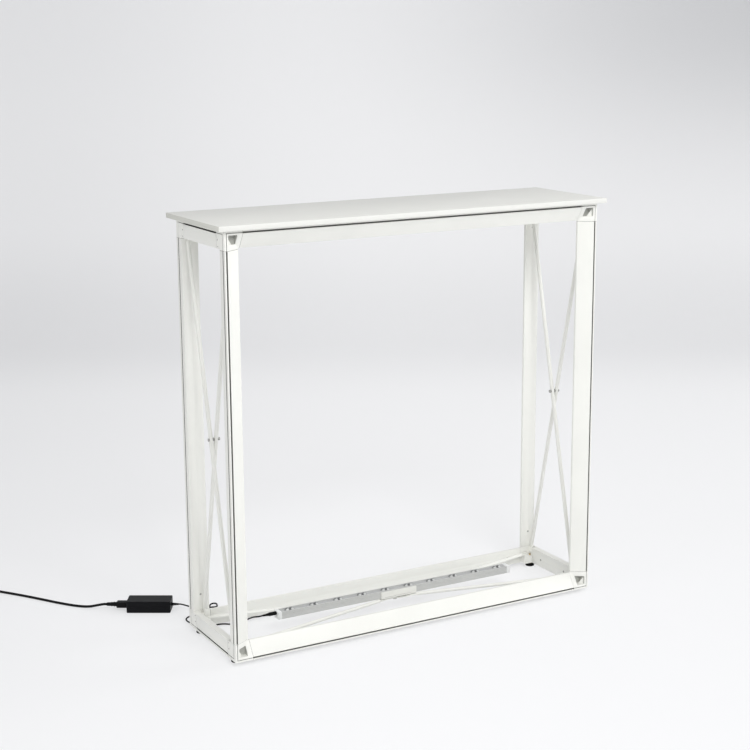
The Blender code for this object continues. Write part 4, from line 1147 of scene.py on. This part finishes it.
            # Painted shade: the connector's grooves, pocket, studs and small end hole are painted darker
            # than its plastic.
            lined(piece, GROOVE_PAINTED_SHADE, self.in_face_groove)
            lined(piece, GROOVE_SHADE, self.in_side_groove)
            lined(piece, POCKET_PAINTED_SHADE, self.in_pocket)
            lined(piece, STUD_PAINTED_SHADE, self.on_stud)
            lined(piece, HOLE_SHADE, self.in_screw_hole)
        self.add_gussets()
        self.add_pins()
        bars = [f"side_brace_{side.word}_{layer}" for side in Side for layer in ("outer", "inner")]
        bars += ["bottom_brace_upper", "bottom_brace_lower"]
        dress(bars, BRACE_COAT, self.brace_rounding, 40.0)
        dress([f"side_brace_{side.word}_pin" for side in Side], ZINC, self.brace_rounding)
        dress(["bottom_brace_hub"], ZINC, self.brace_rounding)


@dataclass
class Top:
    """The board and the pegs that hold it in place."""

    rounding: float = 0.0005
    end_tilt: float = 0.7

    def build(self) -> None:
        """Dresses the board and its pegs."""
        for board in dress(["counter_top"], BOARD_FACE, self.rounding):
            # Painted shade: the board's ends are painted darker than its face.
            lined(board, BOARD_END_SHADE, lambda _, normal: abs(normal.x) > self.end_tilt)
        pegs = [f"board_peg_{face.word}_{side.word}" for face in Face for side in Side]
        dress(pegs, PEG_PLASTIC)


@dataclass
class Feet:
    """Four levelling feet: a pad on a turned stud."""

    def build(self) -> None:
        """Dresses the pads and the studs."""
        corners = [f"{face.word}_{side.word}" for face in Face for side in Side]
        dress([f"foot_pad_{corner}" for corner in corners], PAD_RUBBER)
        dress([f"foot_stud_{corner}" for corner in corners], BRASS)


@dataclass
class Light:
    """The bar of lamps and the clip that holds it."""

    rounding: float = 0.0003
    lens_count: int = 10
    lens_pitch: float = 0.0668
    lobe: float = 0.0062
    lobe_spacing: float = 0.0115
    strip: float = 0.001
    around: int = 56
    rings: int = 9
    lens_skin: float = 0.0002
    shade_start: float = -0.0028
    shade_half: float = 0.0032

    def __post_init__(self) -> None:
        """Reads where the lenses are."""
        self.low, self.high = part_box("light_lenses")

    def lens_profile(self, angle: float) -> float:
        """How far the edge of a two-lobed lens lies from its middle.

        Args:
            angle: The direction, from the bar's long axis.

        Returns:
            The distance.
        """
        offset = self.lobe_spacing / 2
        along = offset * abs(math.cos(angle))
        across = offset * math.sin(angle)
        return along + math.sqrt(max(0.0, self.lobe**2 - across**2))

    def lens_height(self, x: float, y: float) -> float:
        """How high a two-lobed lens stands at a place, as a share of its full height.

        Args:
            x: The place along the bar, from the lens's middle.
            y: The place across the bar.

        Returns:
            The share.
        """
        offset = self.lobe_spacing / 2
        off_axis = math.hypot(abs(x) - offset, y) / self.lobe
        return math.sqrt(max(0.0, 1 - min(1.0, off_axis) ** 2))

    def lens_mesh(self) -> bpy.types.Mesh:
        """The clear strip with its two-lobed lenses, in the place of the plain one."""
        low, high = self.low, self.high
        middle = (low.x + high.x) / 2
        rise = high.z - low.z - self.strip
        shape = bmesh.new()
        corners = [
            shape.verts.new((x, y, z))
            for x in (low.x, high.x)
            for y in (low.y, high.y)
            for z in (low.z, low.z + self.strip)
        ]
        for side in ((0, 1, 3, 2), (4, 6, 7, 5), (0, 4, 5, 1), (2, 3, 7, 6), (0, 2, 6, 4), (1, 5, 7, 3)):
            shape.faces.new([corners[index] for index in side])
        for index in range(self.lens_count):
            centre = middle + (index - (self.lens_count - 1) / 2) * self.lens_pitch
            rows = []
            for ring in range(self.rings):
                share = math.sin(math.pi / 2 * (ring + 1) / self.rings)
                row = []
                for step in range(self.around):
                    angle = math.tau * step / self.around
                    reach = share * self.lens_profile(angle)
                    x, y = reach * math.cos(angle), reach * math.sin(angle)
                    level = low.z + self.strip + rise * self.lens_height(x, y)
                    row.append(shape.verts.new((centre + x, y, level)))
                rows.append(row)
            peak = shape.verts.new((centre, 0, low.z + self.strip + rise * self.lens_height(0, 0)))
            foot = [shape.verts.new((v.co.x, v.co.y, low.z + self.strip / 2)) for v in rows[-1]]
            rows.append(foot)
            for step in range(self.around):
                after = (step + 1) % self.around
                shape.faces.new((peak, rows[0][step], rows[0][after]))
                for inner, outer in zip(rows, rows[1:]):
                    shape.faces.new((inner[step], outer[step], outer[after], inner[after]))
            shape.faces.new(list(reversed(foot)))
        bmesh.ops.recalc_face_normals(shape, faces=shape.faces)
        for surface in shape.faces:
            surface.smooth = len(surface.verts) < 5 and surface.calc_area() < self.strip * self.lobe
        return finished("light_lenses_finished", shape)

    def on_lens(self, place: Vector) -> bool:
        """Whether a face stands above the strip that carries the lenses."""
        return place.z > self.low.z + self.strip + self.lens_skin

    def in_shade(self, place: Vector, _: Vector) -> bool:
        """Whether a face of a lens gets painted shade and reflection instead of the painted highlight.

        Args:
            place: The face's middle.

        Returns:
            True at the back of the lens and between its lobes.
        """
        first = (self.low.x + self.high.x) / 2 - self.lens_count * self.lens_pitch / 2
        along = abs((place.x - first) % self.lens_pitch - self.lens_pitch / 2)
        return self.on_lens(place) and (place.y > self.shade_start or along < self.shade_half)

    def on_chip(self, place: Vector, normal: Vector) -> bool:
        """Whether a face of a lens gets the painted highlight of its lit lobes.

        Args:
            place: The face's middle.
            normal: Its normal.

        Returns:
            True on the front of the lens.
        """
        return self.on_lens(place) and not self.in_shade(place, normal)

    def build(self) -> None:
        """Dresses the bar and its clip."""
        dress(["light_clip"], CLIP_COAT, self.rounding)
        dress(["light_housing"], LIGHT_METAL, self.rounding)
        dress(["light_circuit"], CIRCUIT_MASK)
        dress(["light_cap_left", "light_cap_right"], CAP_PLASTIC, self.rounding)
        lenses = placed("light_lenses_finished", self.lens_mesh(), LENS_CLEAR, "frame")
        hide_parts("light_lenses")
        # Painted highlight on the lenses' fronts, and painted shade and reflection at their backs and
        # between their lobes.
        lined(lenses, LENS_HIGHLIGHT, self.on_chip)
        lined(lenses, LENS_SHADE, self.in_shade)


@dataclass
class Lead:
    """The thin lead from the light to the power supply."""

    diameter: float = 0.0037
    route: list[Point] = field(
        default_factory=lambda: [
            (-0.3666, 0.0, 0.0545),
            (-0.3700, 0.0003, 0.0542),
            (-0.376, 0.007, 0.0515),
            (-0.380, 0.020, 0.047),
            (-0.381, 0.037, 0.039),
            (-0.381, 0.056, 0.029),
            (-0.383, 0.076, 0.015),
            (-0.390, 0.094, 0.005),
            (-0.403, 0.110, 0.0020),
            (-0.418, 0.121, 0.0020),
            (-0.437, 0.126, 0.0020),
            (-0.460, 0.136, 0.0020),
            (-0.479, 0.154, 0.0020),
            (-0.487, 0.176, 0.0020),
            (-0.485, 0.197, 0.0020),
            (-0.469, 0.211, 0.0020),
            (-0.444, 0.219, 0.0020),
            (-0.420, 0.228, 0.0020),
            (-0.402, 0.245, 0.0020),
            (-0.388, 0.263, 0.0020),
            (-0.379, 0.262, 0.0020),
            (-0.380, 0.247, 0.0024),
            (-0.388, 0.234, 0.0040),
            (-0.402, 0.231, 0.0062),
            (-0.420, 0.236, 0.0056),
            (-0.438, 0.247, 0.0058),
            (-0.451, 0.257, 0.0090),
        ]
    )

    def build(self) -> None:
        """Lays the lead and dresses what is on it."""
        dress(["lead_plug"], GRIP_PLASTIC)
        dress(["power_lead_relief"], LEAD_COVER)
        dress(["power_supply_lower", "power_supply_upper"], SUPPLY_PLASTIC)
        dress(["mains_connector"], GRIP_PLASTIC)
        points = [*self.route, supply_point(SUPPLY_EXIT + self.diameter), supply_point(SUPPLY_EXIT)]
        cord = flowing_curve("lead_finished", points, self.diameter / 2, 8)
        cord.data.materials.append(LEAD_COVER.material())
        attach(cord, "frame")
        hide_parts("lead_cord")
        log.info("lead of %.3f m", curve_length(cord))


SUPPLY_PLACE: Point = (-0.538, 0.308, 0.015)
SUPPLY_TURN = math.radians(-30)
SUPPLY_EXIT = 0.0738
CONNECTOR_EXIT = -0.1088


def supply_point(along: float) -> Point:
    """A point on the power supply's long axis.

    Args:
        along: How far it is from the middle, towards the light's lead.

    Returns:
        The point in the counter's frame.
    """
    return (
        SUPPLY_PLACE[0] + along * math.cos(SUPPLY_TURN),
        SUPPLY_PLACE[1] + along * math.sin(SUPPLY_TURN),
        SUPPLY_PLACE[2],
    )


@dataclass
class Mains:
    """The mains lead: a stretch on the floor, a tied coil, and its plug."""

    diameter: float = 0.0065
    coil_place: tuple[float, float] = (-0.9074, 0.6364)
    coil_inner: float = 0.028
    coil_turns: int = 6
    coil_pitch: float = 0.0072
    coil_level: float = 0.00505
    coil_start: float = math.radians(36.9)
    coil_steps: int = 24
    climb: float = 0.25
    tail: float = 0.085
    route: list[Point] = field(
        default_factory=lambda: [
            (-0.654, 0.376, 0.0115),
            (-0.668, 0.391, 0.0062),
            (-0.687, 0.412, 0.0036),
            (-0.724, 0.459, 0.0034),
            (-0.752, 0.502, 0.0034),
            (-0.781, 0.546, 0.0034),
            (-0.807, 0.583, 0.0034),
            (-0.833, 0.618, 0.0036),
        ]
    )

    def coil_points(self) -> list[Point]:
        """Points of the coil, which spirals in below and out again above."""
        middle = self.coil_turns / 2
        points: list[Point] = []
        for step in range(self.coil_turns * self.coil_steps + 1):
            turn = step / self.coil_steps
            angle = self.coil_start + turn * math.tau
            radius = self.coil_inner + self.coil_pitch * abs(turn - middle)
            share = min(1.0, max(0.0, (turn - middle + self.climb) / (2 * self.climb)))
            points.append(
                (
                    self.coil_place[0] + radius * math.cos(angle),
                    self.coil_place[1] + radius * math.sin(angle),
                    self.coil_level + self.coil_pitch * share,
                )
            )
        return points

    def build(self) -> None:
        """Lays the lead and dresses its tie and its plug."""
        dress(["coil_tie"], TIE_PLASTIC)
        dress(["mains_plug"], GRIP_PLASTIC)
        coil = self.coil_points()
        way = Vector((-math.sin(self.coil_start), math.cos(self.coil_start), 0))
        exit_point = supply_point(CONNECTOR_EXIT)
        plug_level = sum(corner.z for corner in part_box("mains_plug")) / 2
        end = Vector(coil[-1]) + (self.tail + self.diameter) * way
        end.z = plug_level
        low = Vector(coil[-1]) + (self.tail / 2 + self.diameter) * way
        low.z = (coil[-1][2] + 3 * plug_level) / 4
        points = [
            exit_point,
            supply_point(CONNECTOR_EXIT - self.diameter),
            *self.route,
            tuple(Vector(coil[0]) - self.diameter * way),
            *coil,
            tuple(Vector(coil[-1]) + self.diameter * way),
            tuple(low),
            tuple(end - self.diameter * way),
            tuple(end),
        ]
        cord = flowing_curve("mains_lead_finished", points, self.diameter / 2, 4)
        cord.data.materials.append(MAINS_COVER.material())
        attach(cord, "frame")
        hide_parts("mains_cord", "mains_coil", "mains_tail")
        log.info("mains lead of %.3f m", curve_length(cord))


def main() -> None:
    """Builds the studio and the counter."""
    logging.basicConfig(level=logging.INFO, format="%(name)s: %(message)s")
    for part in (Studio(), Lead(), Mains(), Frame(), Top(), Feet(), Light()):
        log.info("building %s", type(part).__name__)
        part.build()


if __name__ == "__main__":
    main()
